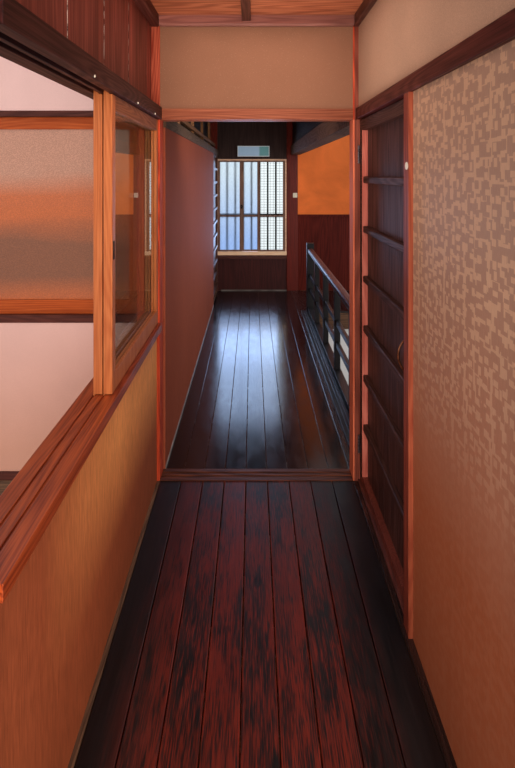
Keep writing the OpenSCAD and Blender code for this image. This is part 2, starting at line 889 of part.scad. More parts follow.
module portal_lintel() {
    color("#a04a20")
        difference() {
            block([-xi, yp0, zh], [xi, yp1, z_head]);
            portal_tracks(zh - eps, head_groove_d);
        }
}

module portal_panel() {
    color("#a87050") block([-xi, yp0 + panel_inset, z_head], [xi, yp0 + panel_inset + wall_t, zt]);
}

// Long wall on the left of the far bay
module far_left_wall() {
    color("#6e3c22") block([x_far_back, yp1, fl], [x_far_wall, ys0, z_far_wall]);
}

// Rail that caps the long wall and the slatted door
module long_wall_rail() {
    color("#5e4638")
        block([-xo, yp1, z_far_wall], [x_far_wall + far_rail_over, ye0, z_far_rail]);
}

// Bar over the rail, with the struts that stand between the rail and the ceiling
module transom_bar() {
    z_bar = z_far_rail + bar_gap;
    x_bar = (x_far_wall + x_far_back) / 2;
    step = far_bay_l / (struts + 1);
    color("#3c2a22")
        union() {
            block([x_bar - bar_h / 2, yp1, z_bar], [x_bar + bar_h / 2, ye0, z_bar + bar_h]);
            for (i = [1 : struts])
                block([x_bar - strut_w / 2, yp1 + i * step - strut_w / 2, z_far_rail],
                      [x_bar + strut_w / 2, yp1 + i * step + strut_w / 2, zc]);
        }
}

// Boarded door with slats across it, at the far end of the long wall
module slatted_door() {
    x0 = x_slatted - slatted_t;
    count = floor((far_wall_h - slat_h) / slat_pitch);
    color("#4e2a1a")
        union() {
            block([x0, ys0, fl], [x0 + slatted_board_t, ye0, z_far_wall]);
            for (y = [ys0, ye0 - slatted_stile_w])
                block([x0, y, fl], [x_slatted, y + slatted_stile_w, z_far_wall]);
            for (i = [0 : count])
                block([x0, ys0, z_far_wall - slat_h - i * slat_pitch],
                      [x_slatted, ye0, z_far_wall - i * slat_pitch]);
        }
}

module far_upper_boards() {
    color("#2a1812") {
        block([-xo, yp1, z_far_rail], [-xo + far_board_l_t, ye0, zt]);
        block([xi + far_board_r_inset, yp1, z_stair_beam],
              [xi + far_board_r_inset + far_board_r_t, ye0, zt]);
    }
}

module far_ceiling() {
    color("#2a1812")
        block([-xo + far_board_l_t, yp1, zc], [xi + far_board_r_inset, ye0, zt]);
}

module stair_beam() {
    color("#5a4438") block([xi, yp1, fl + stair_beam_h], [xo, ye0, z_stair_beam]);
}

// Handrail profile: flat below, rounded over
module handrail_profile() {
    r = handrail_t / 2;
    z = fl + handrail_h - r;
    w = handrail_w / 2 - r;
    union() {
        translate([x_rail - handrail_w / 2, z - r]) square([handrail_w, r]);
        translate([x_rail - w, z - r]) square([2 * w, 2 * r]);
        for (s = [-1, 1])
            translate([x_rail + s * w, z]) circle(r);
    }
}

// Two newel posts on the beam, and the small posts between the base rail and the handrail
module stair_posts() {
    color("#2a1a16")
        for (i = [0 : railing_bays]) {
            newel = i == 0 || i == railing_bays;
            w = (newel ? newel_w : baluster_w) / 2;
            y = y_newel + i * railing_step;
            block([x_rail - w, y - w, newel ? fl : fl + base_rail_h],
                  [x_rail + w, y + w, newel ? fl + newel_h : fl + handrail_h - handrail_t]);
        }
}

// Handrail and base rail from newel to newel, and two middle rails in each space
module stair_rails() {
    y0 = y_newel + newel_w / 2;
    y1 = y_landing - newel_w / 2;
    color("#2a1a16") {
        run_y(y0, y1) handrail_profile();
        block([x_rail - base_rail_w / 2, y0, fl], [x_rail + base_rail_w / 2, y1, fl + base_rail_h]);
        for (i = [1 : railing_bays], h = [upper_rail_h, lower_rail_h])
            block([x_rail - mid_rail_t / 2,
                   y_newel + (i - 1) * railing_step + (i == 1 ? newel_w : baluster_w) / 2,
                   fl + h - mid_rail_h / 2],
                  [x_rail + mid_rail_t / 2,
                   y_newel + i * railing_step - (i == railing_bays ? newel_w : baluster_w) / 2,
                   fl + h + mid_rail_h / 2]);
    }
}

// Grooved strip on the beam, between the floor boards and the newel posts
module stair_edge_strip() {
    x0 = x_strip1 - edge_strip_w;
    color("#2a1a16")
        difference() {
            block([x0, yp1, fl], [x_strip1, y_landing, fl + edge_strip_h]);
            for (i = [1, 2])
                translate([x0 + i * edge_strip_w / 3, 0, 0])
                    block([-edge_groove_w / 2, yp1 - eps, fl + edge_strip_h / 2],
                          [edge_groove_w / 2, y_landing + eps, fl + edge_strip_h + eps]);
        }
}

// Frame of the end window, whose bottom piece stands forward to the face of the posts
module end_window_frame() {
    y1 = y_frame + frame_d;
    color("#7a5a38")
        union() {
            difference() {
                block([-xi, y_frame, z_win0], [x_end_post, y1, z_win1]);
                block([light_x0, y_frame - eps, light_z0], [light_x3, y1 + eps, light_z1]);
            }
            block([-xi, ye0, z_win0], [x_end_post, y_frame + eps, light_z0]);
        }
}

// Middle of the track that a light runs in
function light_y(track) = y_frame + frame_d / 2 + track * (light_t + light_gap) / 2;

module end_window_sashes() {
    color("#54402c")
        for (l = LIGHTS)
            light_xz(light_y(l[2]), light_t, l[0], l[1], light_z0, light_z1,
                     light_stile_w, light_end_h, light_end_h, [fl + light_rail_at], light_rail_h);
}

module end_window_glass() {
    color("#dce6ea", 0.5)
        for (l = LIGHTS)
            pane_xz(light_y(l[2]), l[0] + light_stile_w, l[1] - light_stile_w,
                    light_z0 + light_end_h, light_z1 - light_end_h);
}

// Board under the frame, and the ledge that stands into the corridor beside the slatted door
module end_window_sill() {
    y1 = y_frame + frame_d;
    color("#3a1c12")
        union() {
            block([-xi, y_frame - frame_inset / 2, z_board], [x_end_post, y1, z_win0]);
            block([-xi, ye0, z_ledge], [x_end_post, y1, z_board]);
            block([x_slatted, ye0 - ledge_out, z_ledge], [x_end_post, ye0 + eps, z_board]);
        }
}

// Dark boards under the end window, and the capped wainscot at the end of the stairwell
module end_wainscot() {
    y1 = y_frame + frame_d;
    color("#2c1410") {
        block([-xi, y_frame, fl], [x_end_post, y1, z_ledge]);
        union() {
            block([x_end_side, y_frame, fl], [xs, y1, fl + side_wainscot_h]);
            block([x_end_side, ye0, fl + side_wainscot_h - cap_h], [xs, y1, fl + side_wainscot_h]);
        }
    }
}

module end_upper_wall() {
    color("#241410") block([-xi, y_frame, z_win1], [x_end_post, y_frame + frame_d, zt]);
}

module side_end_wall() {
    color("#c06a2c")
        block([x_end_side, y_frame, fl + side_wainscot_h], [xs, y_frame + frame_d, zt]);
}

// Lattice outside the end window: flat rails on the posts, and bars standing on the rails
module window_lattice() {
    z0 = z_win0 - lattice_past;
    z1 = z_win1 + lattice_past;
    mid = (light_x0 + light_x3) / 2;
    half = (xi + x_end_post) / 2 + lattice_lap;
    x0 = mid - half;
    x1 = mid + half;
    count = floor((x1 - x0 - lattice_bar_w) / lattice_pitch);
    first = mid - count * lattice_pitch / 2;
    color("#3a2c24")
        union() {
            for (z = [z0, fl + light_rail_at - lattice_rail_h / 2, z1 - lattice_rail_h])
                block([x0, ye1, z], [x1, ye1 + lattice_rail_t, z + lattice_rail_h]);
            for (i = [0 : count])
                block([first + i * lattice_pitch - lattice_bar_w / 2, ye1 + lattice_rail_t - eps, z0],
                      [first + i * lattice_pitch + lattice_bar_w / 2, ye1 + lattice_t, z1]);
        }
}

z_room_sill = fl + room_wall_h + room_sill_t;
z_room_head = fl + room_head_h;
y_room_mid = y_room + wall_t / 2;

module partition_walls() {
    color("#e6d8ce") {
        block([-xs, y_room, fl + room_base_h], [-xo, y_room + wall_t, fl + room_wall_h]);
        block([-xs, y_room, z_room_head + room_head_t], [-xo, y_room + wall_t, zt]);
    }
}

module partition_timbers() {
    y0 = y_room - room_inset / 2;
    y1 = y_room + wall_t + room_inset / 2;
    color("#4a2014") {
        block([-xs, y0, fl], [-xo, y1, fl + room_base_h]);
        block([-xs, y0, fl + room_wall_h], [-xo, y1, z_room_sill]);
        block([-xs, y0, z_room_head], [-xo, y1, z_room_head + room_head_t]);
    }
}

module partition_sash() {
    color("#b4622c")
        light_xz(y_room_mid, sash_t, -xs, -xo, z_room_sill, z_room_head,
                 stile_w, room_top_rail_h, room_bottom_rail_h);
}

module partition_glass() {
    color("#b8a090", 0.6)
        pane_xz(y_room_mid, -xs + stile_w, -xo - stile_w,
                z_room_sill + room_bottom_rail_h, z_room_head - room_top_rail_h);
}

side_floor_beams();
cross_floor_beams();
floor_joists();
near_floor();
far_floor();
portal_threshold();
near_posts();
portal_posts();
end_posts();
outer_posts();
top_plates();
tie_beams();
left_lower_wall();
window_sill();
window_head();
corridor_sash();
room_side_sash();
sash_glass();
left_upper_boards();
ceiling_boards();
ceiling_trim();
right_head();
right_upper_wall();
right_lower_wall();
door_jamb();
door_sill();
door_stops();
door_frame();
door_boards();
door_pull();
door_hinges();
post_hinges();
portal_lintel();
portal_panel();
far_left_wall();
long_wall_rail();
transom_bar();
slatted_door();
far_upper_boards();
far_ceiling();
stair_beam();
stair_posts();
stair_rails();
stair_edge_strip();
end_window_frame();
end_window_sashes();
end_window_glass();
end_window_sill();
end_wainscot();
end_upper_wall();
side_end_wall();
window_lattice();
partition_walls();
partition_timbers();
partition_sash();
partition_glass();
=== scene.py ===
"""Looks of an old townhouse's upper-floor corridor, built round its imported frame.

Lengths are metres, +X is right, +Y runs down the corridor and +Z is up, as in the frame. The
frame gives every place. Each sub-assembly is a class whose fields are its own sizes, each finish
is a frozen dataclass, and boards, screws, pins and wires grow from geometry node trees.
"""
import json
import logging
import math
from abc import ABC, abstractmethod
from collections.abc import Callable
from dataclasses import dataclass
from enum import Enum

import bmesh
import bpy
from bpy.types import Material, NodeSocket, NodeTree, Object
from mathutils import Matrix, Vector


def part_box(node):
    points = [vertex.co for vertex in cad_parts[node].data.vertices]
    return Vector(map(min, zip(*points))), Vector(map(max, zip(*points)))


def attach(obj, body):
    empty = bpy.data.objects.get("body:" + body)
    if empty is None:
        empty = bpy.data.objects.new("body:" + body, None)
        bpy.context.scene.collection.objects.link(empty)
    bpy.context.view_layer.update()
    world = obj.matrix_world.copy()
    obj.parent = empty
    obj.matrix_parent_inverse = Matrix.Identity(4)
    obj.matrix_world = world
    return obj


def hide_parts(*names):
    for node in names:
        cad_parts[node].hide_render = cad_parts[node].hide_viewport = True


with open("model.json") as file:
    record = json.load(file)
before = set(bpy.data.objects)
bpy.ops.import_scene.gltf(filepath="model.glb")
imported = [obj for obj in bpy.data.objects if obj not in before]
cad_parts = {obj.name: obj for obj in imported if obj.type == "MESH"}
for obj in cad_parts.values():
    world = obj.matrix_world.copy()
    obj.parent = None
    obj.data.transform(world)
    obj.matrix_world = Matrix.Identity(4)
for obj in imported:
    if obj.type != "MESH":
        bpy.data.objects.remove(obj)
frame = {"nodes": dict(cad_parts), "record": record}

log = logging.getLogger("corridor")
Colour = tuple[float, float, float, float]
Box = tuple[float, float, float, float, float, float]
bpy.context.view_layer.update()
CORRIDOR, DOOR = "corridor", "board_door"

# Turns that lay an upright board along the corridor and across it
RUN_ALONG = (math.radians(90), 0.0, 0.0)
RUN_ACROSS = (0.0, math.radians(90), 0.0)

# Radii of the timbers' edges, from rough to crisp
SAWN_EDGE, SOFT_EDGE, PLANED_EDGE, FINE_EDGE, CRISP_EDGE = 0.003, 0.002, 0.0016, 0.0014, 0.0012

# How deep a face's own skin goes, and how far a small piece is let into what it sits on
SKIN = 0.001

# Distance of doubled points, and the angles in degrees up to which faces are flat and edges blunt
DOUBLES, FLAT_ANGLE, SHARP_ANGLE = 2e-5, 0.5, 35.0


def srgb(red: int, green: int, blue: int) -> Colour:
    """Gives the linear colour of an 8-bit sRGB one.

    Args:
        red, green, blue: Parts from 0 to 255.

    Returns:
        The linear colour with full alpha.
    """
    parts = [value / 255 for value in (red, green, blue)]
    linear = [v / 12.92 if v <= 0.04045 else ((v + 0.055) / 1.055) ** 2.4 for v in parts]
    return (linear[0], linear[1], linear[2], 1.0)


def scaled(colour: Colour, by: float) -> Colour:
    """Returns the colour made lighter or darker by a factor."""
    return (colour[0] * by, colour[1] * by, colour[2] * by, 1.0)


class Grain(Enum):
    """The way that a timber's grain runs."""

    ACROSS = "X"
    ALONG = "Y"
    UP = "Z"


class Wiring:
    """A node tree, with short calls for the nodes that it is built from."""

    def __init__(self, tree: NodeTree) -> None:
        """Takes the tree."""
        self.tree = tree

    def add(self, kind: str, given: dict[int | str, object], out: int | str = 0,
            **settings: object) -> NodeSocket:
        """Adds a node.

        Args:
            kind: Blender's name of the node.
            given: Sockets or plain values for its inputs, by name or number.
            out: The output that is wanted.
            **settings: Properties of the node itself.

        Returns:
            That output.
        """
        node = self.tree.nodes.new(kind)
        for key, value in settings.items():
            setattr(node, key, value)
        for key, value in given.items():
            if isinstance(value, NodeSocket):
                self.tree.links.new(value, node.inputs[key])
            else:
                node.inputs[key].default_value = value
        return node.outputs[out]

    def sum(self, how: str, a: NodeSocket | float, b: NodeSocket | float) -> NodeSocket:
        """Returns a and b joined by that maths operation."""
        return self.add("ShaderNodeMath", {0: a, 1: b}, operation=how)

    def ray(self, kind: str) -> NodeSocket:
        """Returns 1 for light rays of that kind, and 0 for others."""
        return self.add("ShaderNodeLightPath", {}, out=f"Is {kind} Ray")

    def choose(self, factor: NodeSocket, a: NodeSocket, b: NodeSocket) -> NodeSocket:
        """Returns shader a where factor is 0 and shader b where it is 1."""
        return self.add("ShaderNodeMixShader", {0: factor, 1: a, 2: b})


class Shade(Wiring):
    """Node tree of one material, with short calls for the patterns that the finishes share."""

    def __init__(self, name: str) -> None:
        """Starts a material with a Principled surface.

        Args:
            name: The finish's name.
        """
        self.material = bpy.data.materials.new(f"{name}_finish")
        self.material.use_nodes = True
        super().__init__(self.material.node_tree)
        self.tree.nodes.clear()
        self.surface = self.tree.nodes.new("ShaderNodeBsdfPrincipled")
        self.output = self.tree.nodes.new("ShaderNodeOutputMaterial")
        self.place = self.tree.nodes.new("ShaderNodeTexCoord").outputs["Object"]
        self.show(self.surface.outputs["BSDF"])

    def show(self, shader: NodeSocket) -> None:
        """Makes a shader the material's own."""
        self.tree.links.new(shader, self.output.inputs["Surface"])

    def stretch(self, x: float, y: float, z: float,
                move: tuple[float, float, float] = (0.0, 0.0, 0.0)) -> NodeSocket:
        """Returns the piece's coordinates, scaled by axis and then moved."""
        return self.add("ShaderNodeMapping", {"Vector": self.place, "Scale": (x, y, z), "Location": move})

    def noise(self, where: NodeSocket, scale: float, detail: float = 3.0,
              bend: float = 0.0) -> NodeSocket:
        """Returns smooth noise of about scale features a metre."""
        return self.add("ShaderNodeTexNoise",
                        {"Vector": where, "Scale": scale, "Detail": detail, "Distortion": bend})

    def span(self, value: NodeSocket, low: float, high: float, to_low: float = 0.0,
             to_high: float = 1.0) -> NodeSocket:
        """Returns value with low..high mapped to to_low..to_high and clamped."""
        return self.add("ShaderNodeMapRange", {"Value": value, "From Min": low, "From Max": high,
                                               "To Min": to_low, "To Max": to_high})

    def far(self, a: NodeSocket, b: NodeSocket | float) -> NodeSocket:
        """Returns how far apart a and b are."""
        return self.sum("ABSOLUTE", self.sum("SUBTRACT", a, b), 0.0)

    def blend(self, factor: NodeSocket | float, a: NodeSocket | Colour, b: NodeSocket | Colour,
              how: str = "MIX") -> NodeSocket:
        """Returns colour a mixed with colour b by factor."""
        return self.add("ShaderNodeMix", {0: factor, 6: a, 7: b}, out=2, data_type="RGBA",
                        blend_type=how)

    def tint(self, colour: NodeSocket | Colour, factor: NodeSocket, low: float, high: float) -> NodeSocket:
        """Returns the colour made lighter or darker, by low where factor is 0 and high where it is 1."""
        grey = self.blend(factor, (low, low, low, 1.0), (high, high, high, 1.0))
        return self.blend(1.0, colour, grey, "MULTIPLY")

    def attribute(self, name: str) -> NodeSocket:
        """Returns a number that the boards carry."""
        return self.add("ShaderNodeAttribute", {}, out="Fac", attribute_name=name)

    def axis(self, name: str) -> NodeSocket:
        """Returns one coordinate of the piece, X, Y or Z."""
        return self.add("ShaderNodeSeparateXYZ", {0: self.place}, out=name)

    def bump(self, height: NodeSocket, strength: float, depth: float) -> None:
        """Raises the surface by height, up to depth metres."""
        normal = self.add("ShaderNodeBump", {"Height": height, "Strength": strength, "Distance": depth},
                          out="Normal")
        self.wire("Normal", normal)

    def wire(self, socket: str, value: NodeSocket) -> None:
        """Links a node to one of the surface's sockets."""
        self.tree.links.new(value, self.surface.inputs[socket])

    def put(self, **values: float | Colour) -> None:
        """Sets the surface's plain sockets, whose names are written with _ for a space."""
        for key, value in values.items():
            self.surface.inputs[key.replace("_", " ")].default_value = value

    def pass_shadows(self, tint: Colour) -> None:
        """Lets light through to what lies behind, tinted, as a thin pane does."""
        clear = self.add("ShaderNodeBsdfTransparent", {"Color": tint})
        self.show(self.choose(self.ray("Shadow"), self.surface.outputs["BSDF"], clear))


@dataclass(frozen=True)
class Finish(ABC):
    """What covers a surface. It is made once and shared."""

    name: str

    def material(self) -> Material:
        """Gives the finish's material.

        Returns:
            The material, made the first time that it is asked for.
        """
        known = bpy.data.materials.get(f"{self.name}_finish")
        if known:
            return known
        shade = Shade(self.name)
        self.paint(shade)
        return shade.material

    @abstractmethod
    def paint(self, shade: Shade) -> None:
        """Builds the node tree."""


@dataclass(frozen=True)
class Timber(Finish):
    """Planed wood: growth lines round a far heart, fine fibres and slow changes of tone."""

    dark: Colour
    light: Colour
    grain: Grain = Grain.UP
    rings: float = 150.0
    fibres: float = 240.0
    figure: float = 0.35
    tone: float = 0.25
    roughness: float = 0.45
    relief: float = 0.10
    coat: float = 0.0
    by_board: float = 0.0
    specular: float = 0.4

    def start(self, shade: Shade) -> NodeSocket:
        """Gives every board its own stretch of the pattern.

        Args:
            shade: The material's tree.

        Returns:
            The piece's coordinates, moved by the board's number so that no two boards match.
        """
        if not self.by_board:
            return shade.place
        shift = shade.add("ShaderNodeVectorMath", {0: shade.attribute("board"), 1: (3.7, 2.9, 5.3)},
                          operation="MULTIPLY")
        return shade.add("ShaderNodeVectorMath", {0: shade.place, 1: shift})

    def along(self, shade: Shade, where: NodeSocket, short: float) -> NodeSocket:
        """Draws coordinates out along the grain, so that a pattern there is long.

        Args:
            shade: The material's tree.
            where: The coordinates.
            short: The scale along the grain, under 1.

        Returns:
            The new coordinates.
        """
        scale = [1.0, 1.0, 1.0]
        scale["XYZ".index(self.grain.value)] = short
        return shade.add("ShaderNodeMapping", {"Vector": where, "Scale": tuple(scale)})

    def growth(self, shade: Shade, where: NodeSocket) -> NodeSocket:
        """Draws the wood's figure.

        Args:
            shade: The material's tree.
            where: Its coordinates.

        Returns:
            Growth lines and fibres mixed, from 0 to 1.
        """
        heart = shade.noise(self.along(shade, where, 0.08), 8.0, 1.0)
        wave = shade.sum("SINE", shade.sum("MULTIPLY", heart, self.rings), 0.0)
        lines = shade.span(wave, -0.9, 1.0)
        fibre = shade.span(shade.noise(self.along(shade, where, 0.02), self.fibres, 4.0), 0.25, 0.75)
        return shade.sum("ADD", shade.sum("MULTIPLY", lines, self.figure),
                         shade.sum("MULTIPLY", fibre, 1.0 - self.figure))

    def toned(self, shade: Shade, where: NodeSocket, colour: NodeSocket) -> NodeSocket:
        """Changes a colour's tone slowly over a piece, and from board to board.

        Args:
            shade: The material's tree.
            where: Its coordinates.
            colour: The wood's colour.

        Returns:
            The new colour.
        """
        slow = shade.span(shade.noise(self.along(shade, where, 0.3), 3.2, 4.0, 0.5), 0.3, 0.7)
        low, high = 1.0 - self.tone, 1.0 + self.tone * 0.6
        colour = shade.tint(colour, slow, low, high)
        if self.by_board:
            colour = shade.tint(colour, shade.attribute("board"), 1.0 - self.by_board,
                                1.0 + self.by_board * 0.6)
        return colour

    def over(self, shade: Shade, colour: NodeSocket) -> NodeSocket:
        """Returns the colour with what lies over the wood, which is nothing here."""
        return colour

    def paint(self, shade: Shade) -> None:
        """Builds the node tree.

        Args:
            shade: The material's tree, with a bare surface.
        """
        where = self.start(shade)
        mixed = self.growth(shade, where)
        colour = shade.blend(shade.span(mixed, 0.15, 0.85), self.dark, self.light)
        pores = shade.noise(self.along(shade, where, 0.015), self.fibres * 2.6, 1.0)
        colour = shade.blend(shade.span(pores, 0.36, 0.26, 0.0, 0.5), colour, scaled(self.dark, 0.5))
        shade.wire("Base Color", self.over(shade, self.toned(shade, where, colour)))
        shade.wire("Roughness", shade.span(mixed, 0.2, 0.8, self.roughness + 0.07, self.roughness - 0.05))
        shade.bump(mixed, self.relief, 0.0010)
        shade.put(Coat_Weight=self.coat, Coat_Roughness=0.18, Specular_IOR_Level=self.specular)


@dataclass(frozen=True)
class JointedTimber(Timber):
    """Upright boards with torn remains of pale paper along their joints."""

    first_joint: float = 0.0
    pitch: float = 0.4
    strip: float = 0.0036
    paper: Colour = srgb(226, 204, 190)
    bare_from: float = -1.75
    torn_to: float = -2.95

    def over(self, shade: Shade, colour: NodeSocket) -> NodeSocket:
        """Lays dark joints over the wood, and torn paper over them.

        Args:
            shade: The material's tree.
            colour: The wood's colour.

        Returns:
            The colour with both.
        """
        run = shade.sum("SUBTRACT", shade.axis("Y"), self.first_joint - self.pitch / 2)
        off = shade.far(shade.sum("MODULO", run, self.pitch), self.pitch / 2)
        colour = shade.blend(shade.span(off, self.strip * 1.6, self.strip), colour, scaled(self.dark, 0.3))
        near = shade.span(off, self.strip, self.strip * 0.7)
        torn = shade.span(shade.noise(shade.stretch(1.0, 1.6, 1.0, (0.0, 0.0, 0.37)), 34.0, 3.0), 0.45, 0.54)
        torn = shade.sum("MULTIPLY", torn,
                         shade.span(shade.axis("Y"), self.torn_to, self.bare_from, 1.0, 0.1))
        return shade.blend(shade.sum("MULTIPLY", near, torn), colour, self.paper)


@dataclass(frozen=True)
class FloorWax(Timber):
    """Old floor boards, black with wax, whose middles are worn red where people walk."""

    worn: Colour = srgb(120, 50, 30)
    half_path: float = 0.33
    path_middle: float = -0.015
    path_fade: tuple[float, float] = (0.09, -0.10)
    half_board: float = 0.052
    rim: tuple[float, float] = (-0.006, -0.002)
    edge_glint: float = 0.6
    drift: float = 1.0
    board_weight: float = 1.1
    weights: tuple[float, float, float, float] = (3.6, 2.8, 2.0, 2.6)
    wear_span: tuple[float, float] = (0.18, 0.98)

    def paint(self, shade: Shade) -> None:
        """Builds the node tree.

        Args:
            shade: The material's tree, with a bare surface.
        """
        where = self.start(shade)
        mixed = self.growth(shade, where)
        streak = shade.noise(self.along(shade, where, 0.018), self.fibres * 2.2, 2.0)
        fleck = shade.noise(self.along(shade, where, 0.05), self.fibres * 1.4, 2.0, 0.15)
        mottle = shade.noise(self.along(shade, where, 0.30), 20.0, 5.0, 0.4)
        tread = shade.noise(self.along(shade, where, 0.16), 9.0, 2.0, 0.2)
        path = shade.span(shade.far(shade.axis("X"), self.path_middle),
                          *(self.half_path + fade for fade in self.path_fade))
        worn = shade.sum("MULTIPLY", shade.attribute("board"), self.board_weight)
        for part, middle, weight in zip((streak, fleck, mottle, tread), (0.5, 0.5, 0.54, 0.5), self.weights):
            worn = shade.sum("ADD", worn, shade.sum("MULTIPLY", shade.sum("SUBTRACT", part, middle), weight))
        wear = shade.sum("MULTIPLY", shade.span(worn, *self.wear_span), path)
        colour = shade.blend(wear, shade.blend(mixed, self.dark, self.light),
                             shade.blend(mixed, scaled(self.worn, 0.7), scaled(self.worn, 1.15)))
        centre = shade.add("ShaderNodeAttribute", {}, out="Vector", attribute_name="centre")
        side = shade.far(shade.axis("X"), shade.add("ShaderNodeSeparateXYZ", {0: centre}, out="X"))
        # Painted highlight along the board edges in the walked path, in a lighter tone of the worn red
        rim = shade.span(side, *(self.half_board + inset for inset in self.rim))
        glint = shade.sum("MULTIPLY", shade.sum("MULTIPLY", rim, path), shade.span(streak, 0.4, 0.6))
        colour = shade.blend(shade.sum("MULTIPLY", glint, self.edge_glint), colour, scaled(self.worn, 1.6))
        shade.wire("Base Color", self.toned(shade, where, colour))
        rough = shade.span(mottle, 0.3, 0.7, -0.05 * self.drift, 0.09 * self.drift)
        shade.wire("Roughness", shade.sum("ADD", rough, self.roughness))
        shade.bump(shade.sum("ADD", mixed, streak), self.relief, 0.0010)
        shade.put(Coat_Weight=self.coat, Coat_Roughness=0.12, Specular_IOR_Level=self.specular)


@dataclass(frozen=True)
class Plaster(Finish):
    """Trowelled plaster with fine sand in it and a few pale grains."""

    colour: Colour
    grit: float = 0.18
    clouds: float = 0.10
    pale_grains: float = 0.25
    roughness: float = 0.9
    grain: Colour = srgb(226, 196, 168)
    foot: Colour | None = None
    foot_top: float = 1.1
    foot_fade: float = 0.9

    def paint(self, shade: Shade) -> None:
        """Builds the node tree.

        Args:
            shade: The material's tree, with a bare surface.
        """
        sand = shade.noise(shade.place, 430.0, 3.0)
        cloud = shade.noise(shade.place, 2.4, 5.0, 0.5)
        colour = self.colour
        if self.foot is not None:
            height = shade.span(shade.axis("Z"), self.foot_top - self.foot_fade, self.foot_top)
            colour = shade.blend(height, self.foot, self.colour)
        colour = shade.tint(colour, shade.span(sand, 0.3, 0.7), 1.0 - self.grit, 1.0 + self.grit * 0.7)
        colour = shade.tint(colour, shade.span(cloud, 0.3, 0.7), 1.0 - self.clouds, 1.05)
        grains = shade.add("ShaderNodeTexVoronoi", {"Vector": shade.place, "Scale": 95.0}, out="Distance")
        speck = shade.span(grains, 0.14, 0.09, 0.0, self.pale_grains)
        shade.wire("Base Color", shade.blend(speck, colour, self.grain))
        shade.put(Roughness=self.roughness, Specular_IOR_Level=0.15)
        shade.bump(sand, 0.35, 0.0010)


@dataclass(frozen=True)
class SilkPaper(Finish):
    """Wallpaper with a fine upright crinkle, darker towards its foot and with painted shade towards its near
    end.
    """

    colour: Colour
    crinkle: float = 0.3
    pitch: float = 190.0
    roughness: float = 0.55
    specular: float = 0.15
    foot: Colour | None = None
    foot_span: tuple[float, float] = (0.45, 0.78)
    # Run along the corridor over which the paper darkens to its foot colour towards the near end: painted
    # shade
    near_shade_span: tuple[float, float] = (-9.0, -8.0)

    def paint(self, shade: Shade) -> None:
        """Builds the node tree.

        Args:
            shade: The material's tree, with a bare surface.
        """
        crepe = shade.noise(shade.stretch(1.0, 1.0, 0.10), self.pitch, 4.0, 0.3)
        cloud = shade.noise(shade.stretch(1.0, 1.0, 0.4), 3.0, 4.0, 0.5)
        colour = self.colour
        if self.foot is not None:
            # Painted shade towards the near end, and darker towards the foot of the wall
            high_and_lit = shade.sum("MULTIPLY", shade.span(shade.axis("Z"), *self.foot_span),
                              shade.span(shade.axis("Y"), *self.near_shade_span))
            colour = shade.blend(high_and_lit, self.foot, self.colour)
        colour = shade.tint(colour, shade.span(crepe, 0.32, 0.68), 1.0 - self.crinkle,
                            1.0 + self.crinkle * 0.7)
        shade.wire("Base Color", shade.tint(colour, cloud, 0.85, 1.12))
        shade.put(Roughness=self.roughness, Specular_IOR_Level=self.specular)
        shade.bump(crepe, 0.35, 0.0014)


